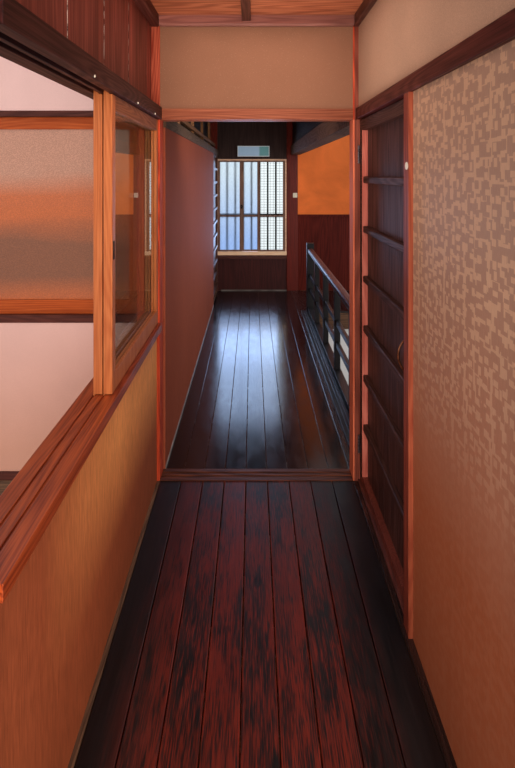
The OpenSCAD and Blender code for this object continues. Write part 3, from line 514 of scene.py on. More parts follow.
@dataclass(frozen=True)
class BlockPaper(Finish):
    """Wallpaper strewn with small printed blocks in two tones; the pale ones fade towards the floor as a
    painted sheen.

    A layer of blocks is a cell's length and height, the share that a block fills, and a seed.
    """

    colour: Colour
    blocks: Colour
    foot: Colour
    # Heights over which the pale blocks fade out towards the floor: painted sheen
    sheen_fade_span: tuple[float, float] = (0.92, 1.46)
    foot_span: tuple[float, float] = (0.70, 1.58)
    dark_layers: tuple[tuple[float, float, float, float], ...] = (
        (0.081, 0.046, 0.72, 1.3), (0.053, 0.033, 0.60, 4.1), (0.037, 0.052, 0.52, 6.4))
    pale_layer: tuple[float, float, float, float] = (0.047, 0.036, 0.48, 9.7)

    def tiles(self, shade: Shade, across: float, up: float, fill: float, seed: float) -> NodeSocket:
        """Returns 1 inside one block in each cell of a grid, whose columns are shifted at random.

        Args:
            shade: The material's tree.
            across: Length of a cell along the wall.
            up: Its height.
            fill: Share of the cell's length and height that the block takes, on the whole.
            seed: Sets another choice of places.

        Returns:
            That 1, and 0 between the blocks.
        """
        run = shade.sum("ADD", shade.axis("Y"), seed * 0.013)
        column = shade.add("ShaderNodeMath", {0: run, 1: across}, operation="SNAP")
        shift = shade.add("ShaderNodeTexWhiteNoise", {"W": shade.sum("ADD", column, seed)},
                          noise_dimensions="1D")
        height = shade.sum("ADD", shade.axis("Z"), shade.sum("MULTIPLY", shift, up))
        row = shade.add("ShaderNodeMath", {0: height, 1: up}, operation="SNAP")
        cell = shade.add("ShaderNodeCombineXYZ", {"X": column, "Y": row, "Z": seed})
        pick = shade.add("ShaderNodeTexWhiteNoise", {"Vector": cell}, out="Color", noise_dimensions="3D")
        inside: NodeSocket | float = 1.0
        for place, start, length, part, small, large in ((run, column, across, "Red", 0.35, 0.62),
                                                         (height, row, up, "Green", 0.62, 0.35)):
            share = shade.add("ShaderNodeSeparateColor", {0: pick}, out=part)
            shape = shade.add("ShaderNodeSeparateColor", {0: pick}, out="Blue")
            middle = shade.span(share, 0.0, 1.0, fill / 2, 1.0 - fill / 2)
            off = shade.far(shade.sum("DIVIDE", shade.sum("SUBTRACT", place, start), length), middle)
            half = shade.span(shape, 0.0, 1.0, fill * small, fill * large)
            inside = shade.sum("MULTIPLY", inside, shade.sum("LESS_THAN", off, half))
        return inside

    def paint(self, shade: Shade) -> None:
        """Builds the node tree.

        Args:
            shade: The material's tree, with a bare surface.
        """
        dark: NodeSocket | float = 0.0
        for layer in self.dark_layers:
            dark = shade.sum("MAXIMUM", dark, self.tiles(shade, *layer))
        pale = shade.sum("MAXIMUM", shade.sum("SUBTRACT", 1.0, dark), self.tiles(shade, *self.pale_layer))
        height = shade.axis("Z")
        # Painted sheen: the pale blocks show high up and fade towards the floor
        fade = shade.span(height, *self.sheen_fade_span, 0.05, 0.80)
        weave = shade.noise(shade.stretch(1.0, 1.0, 0.2), 260.0, 3.0)
        cloud = shade.noise(shade.place, 3.0, 4.0)
        ground = shade.blend(shade.span(height, *self.foot_span), self.foot, self.colour)
        colour = shade.blend(shade.sum("MULTIPLY", pale, fade), ground, self.blocks)
        colour = shade.tint(colour, cloud, 0.88, 1.10)
        shade.wire("Base Color", shade.tint(colour, weave, 0.84, 1.12))
        shade.put(Roughness=0.5, Specular_IOR_Level=0.2)
        shade.bump(weave, 0.2, 0.0008)


@dataclass(frozen=True)
class Glass(Finish):
    """A pane: clear, or frosted so that what lies behind shows blurred."""

    tint: Colour
    frost: float = 0.0
    relief: float = 0.0
    pattern: float = 300.0
    low_tint: Colour = srgb(255, 255, 255)
    tint_span: tuple[float, float] = (0.80, 1.75)
    ior: float = 1.45

    def paint(self, shade: Shade) -> None:
        """Builds the node tree.

        Args:
            shade: The material's tree, with a bare surface.
        """
        shade.put(Base_Color=self.tint, Transmission_Weight=1.0, IOR=self.ior, Roughness=self.frost)
        if self.frost:
            cloud = shade.noise(shade.stretch(1.0, 1.0, 0.5), 5.0, 4.0)
            colour = shade.blend(shade.span(shade.axis("Z"), *self.tint_span), self.low_tint, self.tint)
            streaks = shade.noise(shade.stretch(1.0, 1.0, 0.25), 150.0, 3.0, 0.4)
            colour = shade.tint(colour, shade.span(streaks, 0.3, 0.7), 0.82, 1.12)
            shade.wire("Base Color", shade.tint(colour, cloud, 0.84, 1.0))
            shade.wire("Roughness", shade.span(cloud, 0.3, 0.7, self.frost - 0.05, self.frost + 0.05))
        if self.relief:
            shade.bump(shade.noise(shade.place, self.pattern, 2.0), self.relief, 0.0010)
        shade.pass_shadows(self.tint)


@dataclass(frozen=True)
class Obscured(Finish):
    """Patterned glass seen against a room: a fine slanting weave over slow bands of colour."""

    top: Colour
    middle: Colour
    shadow: Colour
    split: float = 1.75
    split_fade: float = 0.06
    shadow_foot: tuple[float, float] = (0.59, 0.47)
    shadow_top: tuple[float, float] = (0.18, 0.30)

    def paint(self, shade: Shade) -> None:
        """Builds the node tree.

        Args:
            shade: The material's tree, with a bare surface.
        """
        height = shade.axis("Z")
        slow = shade.noise(shade.stretch(0.6, 1.0, 2.2), 2.2, 3.0, 0.3)
        shift = shade.sum("ADD", height, shade.sum("MULTIPLY", slow, 0.16))
        upper = shade.span(shift, self.split - self.split_fade, self.split + self.split_fade)
        colour = shade.blend(upper, self.middle, self.top)
        foot, top = (shade.span(shift, *(self.split - under for under in band))
                     for band in (self.shadow_foot, self.shadow_top))
        dusk = shade.sum("MULTIPLY", foot, top)
        colour = shade.blend(shade.sum("MULTIPLY", dusk, 0.75), colour, self.shadow)
        turned = shade.add("ShaderNodeMapping", {"Vector": shade.place, "Rotation": (0.0, 0.6, 0.0),
                                                 "Scale": (150.0, 150.0, 260.0)})
        cells = shade.add("ShaderNodeTexVoronoi", {"Vector": turned, "Scale": 1.0}, out="Distance")
        fine = shade.span(cells, 0.15, 0.75)
        colour = shade.blend(1.0, colour, shade.blend(fine, (0.78, 0.78, 0.78, 1.0), (1.16, 1.16, 1.18, 1.0)),
                             "MULTIPLY")
        shade.wire("Base Color", colour)
        shade.put(Roughness=0.28, Coat_Weight=0.3)
        shade.bump(fine, 0.5, 0.0010)


@dataclass(frozen=True)
class Metal(Finish):
    """Cast or drawn metal that has gone dull with age."""

    colour: Colour
    dull: Colour
    roughness: float = 0.38

    def paint(self, shade: Shade) -> None:
        """Builds the node tree.

        Args:
            shade: The material's tree, with a bare surface.
        """
        stain = shade.noise(shade.place, 120.0, 5.0, 0.4)
        patch = shade.span(stain, 0.35, 0.68)
        shade.wire("Base Color", shade.blend(patch, self.colour, self.dull))
        shade.wire("Roughness", shade.span(patch, 0.0, 1.0, self.roughness, self.roughness + 0.22))
        shade.put(Metallic=1.0)
        shade.bump(stain, 0.1, 0.0004)


@dataclass(frozen=True)
class Moulded(Finish):
    """Smooth moulded plastic, a little yellowed, which may glow from behind."""

    colour: Colour
    roughness: float = 0.35
    glow: float = 0.0
    second: Colour | None = None
    second_from: float = 0.0
    second_fade: float = 0.02

    def paint(self, shade: Shade) -> None:
        """Builds the node tree.

        Args:
            shade: The material's tree, with a bare surface.
        """
        cloud = shade.noise(shade.place, 30.0, 3.0)
        colour = shade.blend(cloud, scaled(self.colour, 0.92), self.colour)
        if self.second is not None:
            side = shade.span(shade.axis("X"), self.second_from, self.second_from + self.second_fade)
            colour = shade.blend(side, colour, self.second)
        shade.wire("Base Color", colour)
        if self.glow:
            shade.wire("Emission Color", colour)
            shade.put(Emission_Strength=self.glow)
        shade.put(Roughness=self.roughness)
        shade.bump(shade.noise(shade.place, 700.0, 1.0), 0.06, 0.0003)


class Finishes:
    """Every finish of the corridor, by the piece that it covers."""

    sawn = Timber("sawn_beam", srgb(66, 44, 32), srgb(116, 82, 58), Grain.ALONG, roughness=0.75, relief=0.3)
    sawn_across = Timber("sawn_tie", srgb(66, 44, 32), srgb(116, 82, 58), Grain.ACROSS, roughness=0.75,
                         relief=0.3)
    post = Timber("oiled_post", srgb(146, 45, 27), srgb(220, 85, 51), roughness=0.55, specular=0.2)
    outer_post = Timber("brown_outer_post", srgb(84, 42, 31), srgb(128, 72, 52), roughness=0.55, specular=0.2)
    # Darker and lighter copies of the oiled post for faces of the portal posts: painted shade and painted
    # light
    post_front_shade = Timber("brown_post_front", srgb(100, 46, 36), srgb(142, 74, 58), roughness=0.55,
                        specular=0.2)
    post_side_light = Timber("worn_post_side", srgb(202, 96, 66), srgb(246, 135, 98), roughness=0.6, specular=0.15)
    post_top_light = Timber("bright_post_top", srgb(132, 47, 31), srgb(188, 93, 67), roughness=0.55, specular=0.2)
    end_post = Timber("dark_end_post", srgb(75, 20, 10), srgb(110, 31, 18), roughness=0.42)
    near_floor = FloorWax("near_floor_boards", srgb(11, 11, 12), srgb(28, 22, 22), Grain.ALONG, 110.0,
                          roughness=0.40, relief=0.06, by_board=0.2, specular=0.3,
                          worn=srgb(97, 28, 16))
    far_floor = FloorWax("far_floor_boards", srgb(17, 12, 13), srgb(40, 27, 26), Grain.ALONG, 110.0,
                         roughness=0.15, relief=0.014, by_board=0.2, drift=0.5, worn=srgb(48, 29, 27))
    edge_board = Timber("waxed_edge_board", srgb(20, 14, 14), srgb(52, 34, 31), Grain.ALONG, roughness=0.24,
                        relief=0.02, coat=0.2)
    batten = Timber("dark_batten", srgb(52, 24, 20), srgb(84, 42, 34), Grain.ALONG)
    threshold = Timber("worn_threshold", srgb(48, 22, 15), srgb(112, 60, 38), Grain.ACROSS, roughness=0.45,
                       specular=0.2)
    sill = Timber("waxed_sill", srgb(113, 38, 15), srgb(169, 73, 32), Grain.ALONG, roughness=0.38)
    head = Timber("dark_head", srgb(35, 13, 11), srgb(65, 28, 25), Grain.ALONG, roughness=0.5, specular=0.25)
    sash = Timber("cedar_sash", srgb(162, 80, 40), srgb(196, 113, 64), tone=0.12, figure=0.25, roughness=0.45,
                  specular=0.3)
    sash_rail = Timber("shaded_sash_rail", srgb(104, 52, 28), srgb(142, 80, 44), Grain.ALONG, tone=0.1)
    upper_board = JointedTimber("dark_upper_boards", srgb(86, 33, 26), srgb(132, 58, 47), rings=60.0,
                                fibres=150.0, tone=0.42, roughness=0.5, by_board=0.2, first_joint=-3.280,
                                pitch=0.405)
    # Dark copy of the trim for its left run: painted shade
    left_run_shade = Timber("dark_left_run", srgb(60, 26, 22), srgb(86, 40, 33), Grain.ALONG, roughness=0.6,
                      specular=0.2)
    ceiling = Timber("cedar_ceiling", srgb(130, 60, 36), srgb(194, 114, 78), Grain.ACROSS, 90.0, figure=0.5,
                     tone=0.2, roughness=0.5)
    trim = Timber("brown_trim", srgb(124, 71, 62), srgb(158, 99, 87), Grain.ACROSS, tone=0.3, roughness=0.5)
    lintel = Timber("waxed_lintel", srgb(120, 55, 34), srgb(164, 94, 66), Grain.ACROSS, roughness=0.42)
    surround = Timber("door_surround", srgb(98, 38, 28), srgb(136, 62, 46), roughness=0.5, specular=0.25)
    # Lighter copy of the surround for the jamb's near face: painted light
    surround_lit_face = Timber("worn_surround_edge", srgb(130, 56, 36), srgb(160, 82, 55), roughness=0.45)
    surround_run = Timber("right_head_rail", srgb(46, 15, 13), srgb(79, 29, 26), Grain.ALONG, roughness=0.45,
                          specular=0.25)
    sill_run = Timber("door_sill_board", srgb(64, 28, 22), srgb(106, 54, 44), Grain.ALONG, roughness=0.45)
    door = Timber("varnished_door", srgb(84, 36, 29), srgb(128, 62, 49), roughness=0.45, specular=0.25)
    door_rail = Timber("dark_door_rail", srgb(46, 27, 23), srgb(76, 46, 39), Grain.ALONG, roughness=0.5,
                       specular=0.2)
    # Lighter copy of the door's wood for the hinge-side stile: painted light
    lit_door_stile = Timber("hinge_side_stile", srgb(176, 84, 70), srgb(212, 121, 104), roughness=0.4)
    door_boards = Timber("varnished_door_boards", srgb(46, 27, 24), srgb(86, 52, 46), rings=90.0,
                         roughness=0.5, specular=0.22)
    long_rail = Timber("grey_brown_rail", srgb(74, 54, 42), srgb(106, 82, 66), Grain.ALONG, roughness=0.7,
                       specular=0.15)
    stair_beam = Timber("smoked_beam", srgb(74, 48, 38), srgb(108, 77, 61), Grain.ALONG, roughness=0.7,
                        specular=0.15)
    # Dark boards of the end wall over the window
    upper_end = Timber("smoked_upper_end", srgb(40, 27, 25), srgb(60, 42, 39), rings=60.0, roughness=0.6)
    # Pale strip at the foot of the end wall's cladding: painted highlight on a base rail
    foot_strip = Timber("worn_foot_strip", srgb(56, 46, 44), srgb(134, 124, 118), Grain.ACROSS, roughness=0.5)
    wall_strip = Timber("grey_wall_strip", srgb(96, 84, 78), srgb(162, 148, 140), Grain.ALONG, roughness=0.5)
    # Dark boards for the far bay's upper boards and ceiling
    dark = Timber("smoked_boards", srgb(24, 16, 15), srgb(42, 29, 26), Grain.ALONG, roughness=0.6)
    slats = Timber("slatted_door", srgb(62, 34, 26), srgb(104, 64, 50), Grain.ALONG, roughness=0.42)
    strut = Timber("pale_strut", srgb(104, 66, 40), srgb(140, 96, 62), Grain.ALONG, roughness=0.55)
    railing = Timber("dark_railing", srgb(12, 10, 11), srgb(26, 21, 22), Grain.ALONG, roughness=0.36,
                     relief=0.03)
    railing_post = Timber("dark_railing_post", srgb(11, 9, 10), srgb(25, 18, 18), roughness=0.45, relief=0.05)
    hand_rail = Timber("worn_hand_rail", srgb(58, 24, 18), srgb(112, 52, 38), Grain.ALONG, roughness=0.5,
                       relief=0.03, specular=0.2)
    window_frame = Timber("tan_window_frame", srgb(216, 164, 134), srgb(246, 206, 178), Grain.ACROSS,
                          tone=0.1, roughness=0.42)
    window_sash = Timber("bronze_window_sash", srgb(92, 64, 54), srgb(140, 104, 86), roughness=0.42)
    # Paler copy of the window frame for its foot: painted light
    lit_frame_foot = Timber("pale_window_foot", srgb(244, 190, 150), srgb(255, 224, 190), Grain.ACROSS,
                         tone=0.08, roughness=0.42)
    # Dark board under the window frame: painted shade of its recess
    window_board_shade = Timber("dark_window_board", srgb(58, 28, 22), srgb(96, 54, 42), Grain.ACROSS)
    wainscot = Timber("dark_wainscot", srgb(46, 17, 15), srgb(72, 29, 24), rings=60.0, roughness=0.45)
    side_wainscot = Timber("red_wainscot", srgb(70, 19, 13), srgb(100, 32, 22), rings=60.0, roughness=0.6,
                           specular=0.15)
    # Near black: painted shade on bars seen against the window's light
    lattice = Timber("tarred_lattice", srgb(12, 10, 10), srgb(26, 22, 20), roughness=0.8, specular=0.1)
    partition = Timber("partition_timber", srgb(64, 27, 20), srgb(94, 46, 36), Grain.ACROSS, specular=0.2)
    room_sash = Timber("room_window_sash", srgb(148, 58, 18), srgb(186, 86, 34), Grain.ACROSS, tone=0.15,
                       specular=0.2)
    # The gold paper darkens towards the near end: painted shade
    gold_paper = SilkPaper("gold_silk_paper", srgb(245, 160, 94), 0.22, foot=srgb(160, 82, 50),
                           near_shade_span=(-3.15, -2.35))
    brown_paper = SilkPaper("brown_satin_paper", srgb(148, 74, 52), 0.16, 240.0, 0.75, 0.06)
    block_paper = BlockPaper("block_paper", srgb(162, 124, 104), srgb(198, 154, 124), srgb(148, 79, 50))
    sand = Plaster("sand_plaster", srgb(180, 140, 116))
    panel = Plaster("portal_plaster", srgb(143, 98, 76), 0.26)
    orange = Plaster("orange_plaster", srgb(240, 122, 60), 0.12, 0.28, 0.1)
    white = Plaster("white_plaster", srgb(222, 182, 176), 0.05, 0.06, 0.0, foot=srgb(200, 148, 128),
                    foot_top=1.25)
    clear = Glass("clear_pane", srgb(240, 246, 244), ior=1.25)
    frosted = Glass("frosted_pane", srgb(230, 246, 255), 0.36, 0.25, 160.0, srgb(170, 202, 255))
    obscured = Obscured("patterned_pane", srgb(180, 128, 104), srgb(182, 92, 42), srgb(98, 68, 50))
    brass = Metal("aged_brass", srgb(186, 118, 82), srgb(116, 68, 46))
    hinge_steel = Metal("aged_hinge_steel", srgb(186, 180, 186), srgb(112, 100, 98))
    black_iron = Metal("black_iron", srgb(34, 32, 32), srgb(22, 20, 20), 0.45)
    ivory = Moulded("ivory_plastic", srgb(226, 216, 196))
    box_rim = Moulded("pale_box_rim", srgb(206, 208, 214), 0.4, 0.1)
    lamp_face = Moulded("bare_lamp_face", srgb(156, 186, 214), 0.3, 0.14, srgb(96, 148, 154), 0.06)


class Growth(Wiring):
    """A geometry node tree with named inputs, which grows one plain mesh for each set of sizes."""

    def __init__(self, name: str, reads_spots: bool = False) -> None:
        """Starts an empty tree.

        Args:
            name: The tree's name.
            reads_spots: Whether its first input is a geometry.
        """
        super().__init__(bpy.data.node_groups.new(name, "GeometryNodeTree"))
        self.tree.interface.new_socket("Geometry", in_out="OUTPUT", socket_type="NodeSocketGeometry")
        self.given = self.tree.nodes.new("NodeGroupInput")
        self.spots = self.ask("Spots", "Geometry") if reads_spots else None
        self.finish = self.ask("Finish", "Material")

    def ask(self, name: str, kind: str) -> NodeSocket:
        """Adds a named input and returns its socket inside the tree."""
        self.tree.interface.new_socket(name, in_out="INPUT", socket_type=f"NodeSocket{kind}")
        return self.given.outputs[name]

    def end(self, geometry: NodeSocket, smooth: bool = False) -> None:
        """Ends the tree in Realize Instances and Set Material.

        Args:
            geometry: What the tree has made.
            smooth: Whether it is shaded smooth.
        """
        real = self.add("GeometryNodeRealizeInstances", {"Geometry": geometry})
        real = self.add("GeometryNodeSetShadeSmooth", {"Geometry": real, "Shade Smooth": smooth})
        dressed = self.add("GeometryNodeSetMaterial", {"Geometry": real, "Material": self.finish})
        output = self.tree.nodes.new("NodeGroupOutput")
        self.tree.links.new(dressed, output.inputs[0])

    def grow(self, name: str, finish: Finish, sizes: dict[str, object],
             spots: list[Vector] | None = None) -> Object:
        """Grows one plain mesh.

        Args:
            name: The new piece's name.
            finish: What covers it.
            sizes: A value for each named input.
            spots: Points that the tree reads as its first geometry, if it has one.

        Returns:
            The piece, a plain mesh at the origin.
        """
        mesh = bpy.data.meshes.new(name)
        if spots:
            mesh.from_pydata([tuple(spot) for spot in spots], [], [])
        piece = bpy.data.objects.new(name, mesh)
        bpy.context.scene.collection.objects.link(piece)
        modifier = piece.modifiers.new("growth", "NODES")
        modifier.node_group = self.tree
        keys = {item.name: item.identifier for item in self.tree.interface.items_tree
                if item.in_out == "INPUT"}
        modifier[keys["Finish"]] = finish.material()
        for key, value in sizes.items():
            modifier[keys[key]] = value
        graph = bpy.context.evaluated_depsgraph_get()
        grown = bpy.data.meshes.new_from_object(piece.evaluated_get(graph), preserve_all_data_layers=True,
                                                depsgraph=graph)
        piece.modifiers.remove(modifier)
        piece.data = grown
        grown.name = name
        return piece


class BoardRow(Growth):
    """Boards with rounded edges, side by side, each with its own number from 0 to 1."""

    def __init__(self) -> None:
        """Builds the tree."""
        super().__init__("board_row")
        count, seed = (self.ask(name, "Int") for name in ("Count", "Seed"))
        first, step, turn, lift, sway = (self.ask(name, "Vector")
                                         for name in ("First", "Step", "Turn", "Lift", "Sway"))
        width, depth, length, edge = (self.ask(name, "Float")
                                      for name in ("Width", "Depth", "Length", "Edge"))
        profile = self.add("GeometryNodeCurvePrimitiveQuadrilateral", {"Width": width, "Height": depth})
        profile = self.add("GeometryNodeFilletCurve", {"Curve": profile, "Count": 2, "Radius": edge,
                                                       "Limit Radius": True}, mode="POLY")
        end = self.add("ShaderNodeCombineXYZ", {"Z": length})
        line = self.add("GeometryNodeCurvePrimitiveLine", {"End": end})
        board = self.add("GeometryNodeCurveToMesh", {"Curve": line, "Profile Curve": profile,
                                                     "Fill Caps": True})
        board = self.add("GeometryNodeTransform", {"Geometry": board, "Rotation": turn})
        row = self.add("GeometryNodeMeshLine", {"Count": count, "Start Location": first, "Offset": step})
        boards = self.add("GeometryNodeInstanceOnPoints", {"Points": row, "Instance": board})
        boards = self.store(boards, "centre", self.add("GeometryNodeInputPosition", {}), "FLOAT_VECTOR")
        draw = self.add("FunctionNodeRandomValue", {"Min": (-1.0, -1.0, -1.0), "Max": (1.0, 1.0, 1.0),
                                                    "Seed": seed}, data_type="FLOAT_VECTOR")
        tilt, shift = (self.add("ShaderNodeVectorMath", {0: draw, 1: most}, operation="MULTIPLY")
                       for most in (sway, lift))
        boards = self.add("GeometryNodeRotateInstances", {"Instances": boards, "Rotation": tilt})
        boards = self.add("GeometryNodeTranslateInstances", {"Instances": boards, "Translation": shift,
                                                             "Local Space": False})
        number = self.add("FunctionNodeRandomValue", {"Seed": seed}, out=1, data_type="FLOAT")
        self.end(self.store(boards, "board", number, "FLOAT"))

    def store(self, boards: NodeSocket, name: str, value: NodeSocket, kind: str) -> NodeSocket:
        """Keeps a value on every board, for its finish to read."""
        return self.add("GeometryNodeStoreNamedAttribute", {"Geometry": boards, "Name": name, "Value": value},
                        data_type=kind, domain="INSTANCE")


class StudGrid(Growth):
    """Small round heads, each standing on a spot and turned the same way."""

    def __init__(self) -> None:
        """Builds the tree."""
        super().__init__("stud_grid", reads_spots=True)
        turn, sides = self.ask("Turn", "Vector"), self.ask("Sides", "Int")
        radius, rise = (self.ask(name, "Float") for name in ("Radius", "Rise"))
        ball = self.add("GeometryNodeMeshUVSphere", {"Segments": sides, "Rings": 6, "Radius": radius})
        share = self.add("ShaderNodeMath", {0: rise, 1: radius}, operation="DIVIDE")
        squash = self.add("ShaderNodeCombineXYZ", {"X": 1.0, "Y": 1.0, "Z": share})
        head = self.add("GeometryNodeTransform", {"Geometry": ball, "Scale": squash})
        head = self.add("GeometryNodeTransform", {"Geometry": head, "Rotation": turn})
        self.end(self.add("GeometryNodeInstanceOnPoints", {"Points": self.spots, "Instance": head}), True)


class Workshop:
    """What every sub-assembly shares: the growth trees, planed copies, blocks and rows of boards."""

    def __init__(self) -> None:
        """Builds the growth trees."""
        self.boards = BoardRow()
        self.studs = StudGrid()
        self.made: list[str] = []

    def keep(self, piece: Object, slot: str, body: str = CORRIDOR, stands_for: str = "") -> Object:
        """Makes a piece ride and hides the node that it stands for.

        Args:
            piece: The new piece.
            slot: The record's material slot; not used.
            body: The body that it rides on.
            stands_for: The CAD node that it replaces, if it does.

        Returns:
            The piece.
        """
        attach(piece, body)
        if stands_for:
            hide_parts(stands_for)
        self.made.append(piece.name)
        log.info("%s: %d faces", piece.name, len(piece.data.polygons))
        return piece

    def finish(self, shape: bmesh.types.BMesh, name: str, finish: Finish, slot: str, body: str = CORRIDOR,
               stands_for: str = "") -> Object:
        """Turns a shape into a piece with one finish, and keeps it.

        Args:
            shape: The shape, which is used up.
            name: The piece's name.
            finish: What covers it.
            slot: The record's material slot.
            body: The body that it rides on.
            stands_for: The CAD node that it replaces, if it does.

        Returns:
            The new piece.
        """
        self.put_in_order(shape)
        mesh = bpy.data.meshes.new(name)
        shape.to_mesh(mesh)
        shape.free()
        mesh.materials.append(finish.material())
        piece = bpy.data.objects.new(name, mesh)
        bpy.context.scene.collection.objects.link(piece)
        return self.keep(piece, slot, body, stands_for)

    @staticmethod
    def put_in_order(shape: bmesh.types.BMesh) -> None:
        """Sorts points and faces by place, so that each run gives the same mesh.

        Args:
            shape: The shape.
        """
        for items, place in ((shape.verts, lambda v: v.co), (shape.faces, lambda f: f.calc_center_median())):
            for index, item in enumerate(sorted(items, key=lambda each: tuple(place(each)))):
                item.index = index
            items.sort()

    @staticmethod
    def dress(node: str, finish: Finish) -> None:
        """Puts a finish on a CAD node."""
        for slot in frame["nodes"][node].material_slots:
            slot.material = finish.material()

    @staticmethod
    def slot_of(node: str) -> str:
        """Returns the record's material slot of a node."""
        return next(part["material_slot"] for part in frame["record"]["subparts"] if part["node"] == node)

    @staticmethod
    def copy_of(node: str) -> bmesh.types.BMesh:
        """Copies a node's shape and merges its doubles.

        Args:
            node: The CAD node.

        Returns:
            The copy.
        """
        shape = bmesh.new()
        shape.from_mesh(frame["nodes"][node].data)
        bmesh.ops.remove_doubles(shape, verts=shape.verts, dist=DOUBLES)
        return shape

    @staticmethod
    def join_flats(shape: bmesh.types.BMesh) -> None:
        """Joins the triangles of each flat face."""
        bmesh.ops.dissolve_limit(shape, angle_limit=math.radians(FLAT_ANGLE), verts=shape.verts,
                                 edges=shape.edges)

    @staticmethod
    def thicken(shape: bmesh.types.BMesh, by: Vector) -> None:
        """Draws a flat shape out into a solid whose faces point outwards.

        Args:
            shape: The flat shape.
            by: How far, and which way.
        """
        for made in bmesh.ops.extrude_face_region(shape, geom=list(shape.faces))["geom"]:
            if isinstance(made, bmesh.types.BMVert):
                made.co += by
        bmesh.ops.recalc_face_normals(shape, faces=shape.faces)

    @staticmethod
    def round_edges(shape: bmesh.types.BMesh, edge: float, over: float = 0.0) -> None:
        """Rounds the edges whose angle is over that many degrees, or every edge."""
        sharp = [e for e in shape.edges
                 if not over or (e.is_manifold and e.calc_face_angle(0.0) > math.radians(over))]
        bmesh.ops.bevel(shape, geom=sharp, offset=edge, segments=2, profile=0.5, affect="EDGES",
                        clamp_overlap=True)

    def planed(self, node: str, finish: Finish, edge: float = PLANED_EDGE, body: str = CORRIDOR,
               cuts: tuple[tuple[str, float], ...] = ()) -> Object:
        """Makes a copy of a node whose sharp edges are planed round, and lets it stand for the node.

        Args:
            node: The CAD node.
            finish: What covers the copy.
            edge: Radius of the planed edges.
            body: The body that it rides on.
            cuts: Planes that part its faces, each as an axis and a distance, for Workshop.part.

        Returns:
            The new piece.
        """
        shape = self.copy_of(node)
        self.join_flats(shape)
        self.round_edges(shape, edge, SHARP_ANGLE)
        for axis, far in cuts:
            normal = Vector([float(axis == name) for name in "XYZ"])
            bmesh.ops.bisect_plane(shape, geom=[*shape.verts, *shape.edges, *shape.faces], dist=1e-5,
                                   plane_co=normal * far, plane_no=normal)
        return self.finish(shape, f"{node}_planed", finish, self.slot_of(node), body, node)

    @staticmethod
    def part(piece: Object, finish: Finish, inside: Callable[[Vector], bool]) -> None:
        """Gives another finish to the faces whose middle lies inside.

        Args:
            piece: A new piece.
            finish: What covers those faces.
            inside: Says whether a point counts.
        """
        piece.data.materials.append(finish.material())
        last = len(piece.data.materials) - 1
        for face in piece.data.polygons:
            if inside(face.center):
                face.material_index = last

    def row(self, name: str, finish: Finish, slot: str, body: str = CORRIDOR, stands_for: str = "",
            **sizes: object) -> Object:
        """Grows a row of boards.

        Args:
            name: The piece's name.
            finish: What covers it.
            slot: The record's material slot.
            body: The body that it rides on.
            stands_for: The CAD node that it replaces, if it does.
            **sizes: Values for the tree's inputs, by name.

        Returns:
            The new piece.
        """
        plain = {"Seed": 3, "Step": (0.0, 0.0, 0.0), "Turn": (0.0, 0.0, 0.0), "Lift": (0.0, 0.0, 0.0),
                 "Sway": (0.0, 0.0, 0.0), "Edge": 0.002, "Count": 1}
        return self.keep(self.boards.grow(name, finish, plain | sizes), slot, body, stands_for)

    def heads(self, name: str, finish: Finish, slot: str, spots: list[Vector], body: str = CORRIDOR,
              **sizes: object) -> Object:
        """Sets a small round head on each spot, with its sizes by name."""
        return self.keep(self.studs.grow(name, finish, sizes, spots), slot, body)

    def blocks(self, name: str, finish: Finish, slot: str, boxes: list[Box], edge: float = 0.001) -> Object:
        """Makes small fixed blocks with rounded edges.

        Args:
            name: The piece's name.
            finish: What covers it.
            slot: The record's material slot.
            boxes: Each block's lowest and highest corners.
            edge: Radius of the rounded edges.

        Returns:
            The new piece.
        """
        shape = bmesh.new()
        for box in boxes:
            low, high = box[:3], box[3:]
            for vert in bmesh.ops.create_cube(shape, size=1.0)["verts"]:
                vert.co = Vector([(low[i] + high[i]) / 2 + vert.co[i] * (high[i] - low[i]) for i in range(3)])
        self.round_edges(shape, edge)
        return self.finish(shape, name, finish, slot)


@dataclass
class Assembly(ABC):
    """A sub-assembly, made in the shared workshop."""

    shop: Workshop

    @abstractmethod
    def build(self) -> None:
        """Makes every piece of it."""

    def plane(self, edge: float, **finishes: Finish) -> None:
        """Planes the nodes that are named, each with its finish."""
        for node, finish in finishes.items():
            self.shop.planed(node, finish, edge)

    def dress(self, **finishes: Finish) -> None:
        """Puts a finish on each node that is named, whose CAD shape stays."""
        for node, finish in finishes.items():
            self.shop.dress(node, finish)

    @staticmethod
    def over_floor(height: float) -> float:
        """Returns where a height over the near floor lies."""
        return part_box("near_floor")[1].z + height


